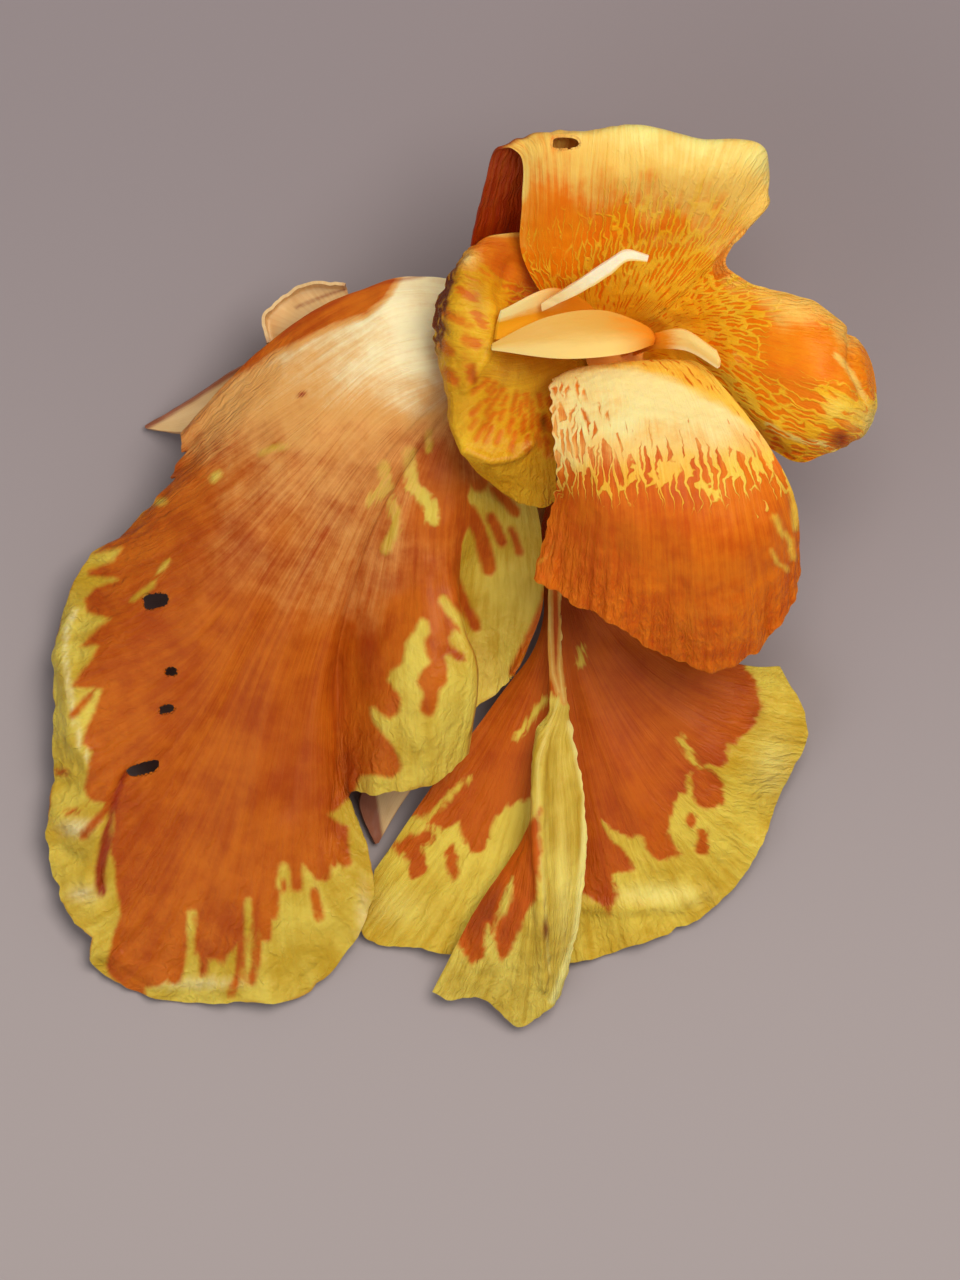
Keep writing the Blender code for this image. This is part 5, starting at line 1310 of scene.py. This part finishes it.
throat = 0.5 + throat / 1.8 + 0.3 * rough_field(here, 1.4, 8.0)
throat = np.clip(highest(throat, (0.3 - lip.reach) / 0.04), 0, 1)
orange = highest(np.clip(-2.3 + 4.6 * down, -3.2, 3.2), graded(here, LIP_ORANGENESS))
orange = np.minimum(orange, 0.4 - strokes(here, LIP_YELLOW))
net = np.clip(12.0 - 9.0 * np.clip((here[..., 1] - tops) / 3, 0, 1), 0, 12)
net = highest(net * (down < 1.5), patches(here, ((14, 21, 5, 6, 7.0), (20, 24, 3, 3, 5.0))))
milk_and_highlight = patches(here, ((25, 25, 13, 8, 1.1), (14, 22, 6, 8, 1.0), (34, 22, 8, 4.5, 1.1)))
milk_and_highlight *= np.clip(1.15 - down * 0.9, 0, 1)
pale = highest(
    patches(here, ((14, 22, 3.5, 6, 0.3), (20, 24, 5, 4, 0.25), (36, -5, 9, 8, 0.1))),
    0.3 * np.clip(1 - np.abs(down - 0.15) / 0.6, 0, 1),
)
lip_petal = lip.piece("netted_lip", {
    "orange": orange * (1 - throat) - 0.6 * throat,
    "net": net * (1 - throat) + 4.0 * throat,
    "pale": pale * (1 - throat),
    "milk_and_highlight": milk_and_highlight * (1 - throat),
    "dark": highest(dry_edge(lip, 0.5, 18.0), patches(here, (
        (13.5, 4, 3.5, 5, 0.35), (12, 12.5, 1.2, 1.6, 0.5), (20, 4, 7, 8, 0.3), (12, 22.5, 0.8, 2, 0.3),
        (29, 8, 8, 2.5, 0.25),
    ))),
})
thicken(lip_petal, PETAL_THICKNESS)
LIP_TONES = (
    (204, 82, 2), (236, 120, 14), (244, 170, 44), (250, 204, 78), (250, 184, 96), (252, 234, 158),
    (150, 40, 2),
)
petal_skin(
    lip_petal, "lip_skin", LIP_TONES,
    streaks=(60.0, 5.0, 0.4), cells=(28.0, 9.5), border=0.8,
)
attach(lip_petal, "root")
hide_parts("labellum")

# The stamen and its anther. The stamen is a petal-like yellow blade in the throat, and the anther is the
# narrow white strip of pollen that stands off along its upper side.
STAMEN_VEINS = (
    ((20.9, 32.2, 21.3), (20.6, 33.6, 29), (14, 34, 35.4), (4.9, 33.5, 40.7)),
    ((20.7, 33, 21.3), (18.8, 36, 29), (12.4, 36.6, 35), (5.2, 35.4, 40.7)),
    ((20.5, 33.8, 21.3), (17.8, 38.6, 31), (13, 40.6, 37), (5.8, 37.4, 41.4)),
)
ANTHER_VEINS = (
    ((11.5, 37.6, 38.2), (17, 40.2, 41.6), (21, 42.6, 43.4), (23.3, 44.4, 44.2), (26, 44.3, 43.9)),
    ((11.4, 38.6, 38.8), (16.3, 41.6, 42.4), (20.1, 44.1, 44.2), (23.2, 45.8, 44.8), (26.2, 45.1, 44.2)),
)
STAMEN_THICKNESS = 0.5
ANTHER_THICKNESS = 0.6


def blade_skin(blade, name, tones, rise, side):
    """A small smooth organ's skin: its root's tone, its own past the rise, and a third along one side."""
    dye = Dye(name)
    low, high, edge = (srgb(*tone) for tone in tones)
    over, along = dye.unrolled()
    fine = dye.noise(dye.spread(over * 9.0, along * 7.0), 1.0, 4.0, 0.7)
    tone = dye.mixed(dye.ramp(along + (fine - 0.5) * 0.3, *rise), low, high)
    beside = dye.ramp(over + (fine - 0.5) * 0.2, *side) * dye.ramp(along, *rise)
    tone = dye.mixed(beside, tone, edge)
    dye.finish(blade, PETAL_WAX, Base_Color=tone, Roughness=fine * 0.2 + 0.35, Normal=dye.bump(0.3, fine))


stamen = Sheet(STAMEN_VEINS, columns=41, rows=101)
stamen_blade = stamen.piece("stamen_blade", {})
thicken(stamen_blade, STAMEN_THICKNESS)
STAMEN_TONES = ((226, 140, 24), (232, 158, 26), (250, 226, 150))
blade_skin(stamen_blade, "stamen_skin", STAMEN_TONES, rise=(0.5, 0.85), side=(0.55, 0.8))
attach(stamen_blade, "root")
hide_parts("stamen")

anther = Sheet(ANTHER_VEINS, columns=21, rows=121)
anther.raise_by(0.1 * rough_field(anther.points, 1.1, 6.0))
anther_strip = anther.piece("pollen_strip", {})
thicken(anther_strip, ANTHER_THICKNESS)
ANTHER_TONES = ((250, 216, 146), (255, 238, 198), (246, 206, 120))
blade_skin(anther_strip, "anther_skin", ANTHER_TONES, rise=(0.1, 0.6), side=(0.3, 0.05))
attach(anther_strip, "root")
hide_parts("anther")

# The style. It is the flat cream blade that crosses the throat to the left, thick and waxy, and it rises
# from the middle of the tube.
STYLE_VEINS = (
    ((22.8, 31.4, 21.3), (26.6, 33, 30.5), (22.8, 31.7, 35.6), (14, 31, 39.4), (4.4, 32.2, 41.6)),
    ((22.6, 31.9, 21.3), (26.8, 33.8, 31), (22.3, 34.2, 37), (13.5, 33.8, 41), (4.4, 32.6, 41.9)),
    ((22.4, 32.5, 21.3), (26.4, 34.8, 30.6), (20.4, 37.3, 36.6), (12.4, 36.6, 40.6), (4.6, 33, 41.9)),
)
STYLE_THICKNESS = 0.8
style = Sheet(STYLE_VEINS, columns=61, rows=121)
style_blade = style.piece("flat_style", {})
thicken(style_blade, STYLE_THICKNESS)
STYLE_TONES = ((234, 148, 34), (216, 166, 74), (250, 212, 128))
blade_skin(style_blade, "style_skin", STYLE_TONES, rise=(0.3, 0.58), side=(0.62, 0.2))
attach(style_blade, "root")
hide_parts("style")

# The small strip. It is the last and smallest of the petal-like organs, a narrow cream strip at the right
# of the throat.
SMALL_STRIP_VEINS = (
    ((24.3, 31.5, 21.3), (28, 32.4, 30), (32, 32, 34.4), (36, 29.6, 37.6)),
    ((24.2, 32.2, 21.3), (27.9, 33.6, 30.6), (31.8, 33.5, 35.4), (36.1, 30.6, 38.4)),
    ((24, 32.9, 21.3), (27.5, 34.6, 30.4), (31.2, 34.9, 35.2), (35.6, 32, 38.2)),
)
STRIP_THICKNESS = 0.5
strip = Sheet(SMALL_STRIP_VEINS, columns=41, rows=101)
small_strip = strip.piece("small_cream_strip", {})
thicken(small_strip, STRIP_THICKNESS)
STRIP_TONES = ((236, 156, 34), (250, 218, 136), (252, 236, 180))
blade_skin(small_strip, "strip_skin", STRIP_TONES, rise=(0.5, 0.72), side=(0.3, 0.05))
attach(small_strip, "root")
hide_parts("staminode_small")

# The ground is a plain matt sheet of mauve-grey board, much larger than the view. It is painted a little
# lighter towards the lower edge of the picture, as in the photograph: painted light, where more light
# falls.
start_fresh()
bpy.ops.mesh.primitive_plane_add(size=4.0)
floor = bpy.context.object
floor.name = "ground"
floor_dye = Dye("ground_board")
up = floor_dye.node("ShaderNodeSeparateXYZ", {}, {0: floor_dye.place()}, out=1)
board = floor_dye.mixed(floor_dye.ramp(up, 0.09, -0.1), srgb(140, 128, 128), srgb(165, 153, 150))
floor_dye.finish(floor, {"Roughness": 0.9}, Base_Color=board)

# Soft light: a large lamp from the upper right, a wide weak one from the lower left, and an even pale sky.
# Each lamp points at the bloom, and has its name, place, size, power and colour in one row.
SKY_COLOUR = (0.92, 0.94, 1.0, 1.0)
SKY_STRENGTH = 0.3
LAMPS = (
    ("key", (0.35, 0.4, 1.25), 0.8, 15.5, (1.0, 0.97, 0.93)),
    ("fill", (-0.8, -0.7, 1.0), 1.2, 5.0, (0.95, 0.97, 1.0)),
)
for lamp_name, place, size, power, colour in LAMPS:
    bpy.ops.object.light_add(type="AREA", location=place)
    lamp = bpy.context.object
    lamp.name = lamp_name
    lamp.data.size = size
    lamp.data.energy = power
    lamp.data.color = colour
    lamp.rotation_euler = (-Vector(place)).to_track_quat("-Z", "Y").to_euler()
sky = bpy.data.worlds.new("sky")
sky.use_nodes = True
sky.node_tree.nodes["Background"].inputs["Color"].default_value = SKY_COLOUR
sky.node_tree.nodes["Background"].inputs["Strength"].default_value = SKY_STRENGTH
bpy.context.scene.world = sky

# The camera looks straight down, as the photograph does, from far enough away to keep the bloom flat.
# The picture is VIEW_HEIGHT metres high at the height of BLOOM_MIDDLE, near the middle of the bloom.
CAMERA_PLACE = (0.0028, -0.0083, 3.0)
VIEW_HEIGHT = 0.1792
BLOOM_MIDDLE = 0.02
bpy.ops.object.camera_add(location=CAMERA_PLACE, rotation=(0, 0, 0))
camera = bpy.context.object
camera.data.sensor_fit = "VERTICAL"
camera.data.angle = 2 * math.atan(VIEW_HEIGHT / 2 / (CAMERA_PLACE[2] - BLOOM_MIDDLE))
bpy.context.scene.camera = camera
bpy.context.scene.view_settings.view_transform = "Standard"
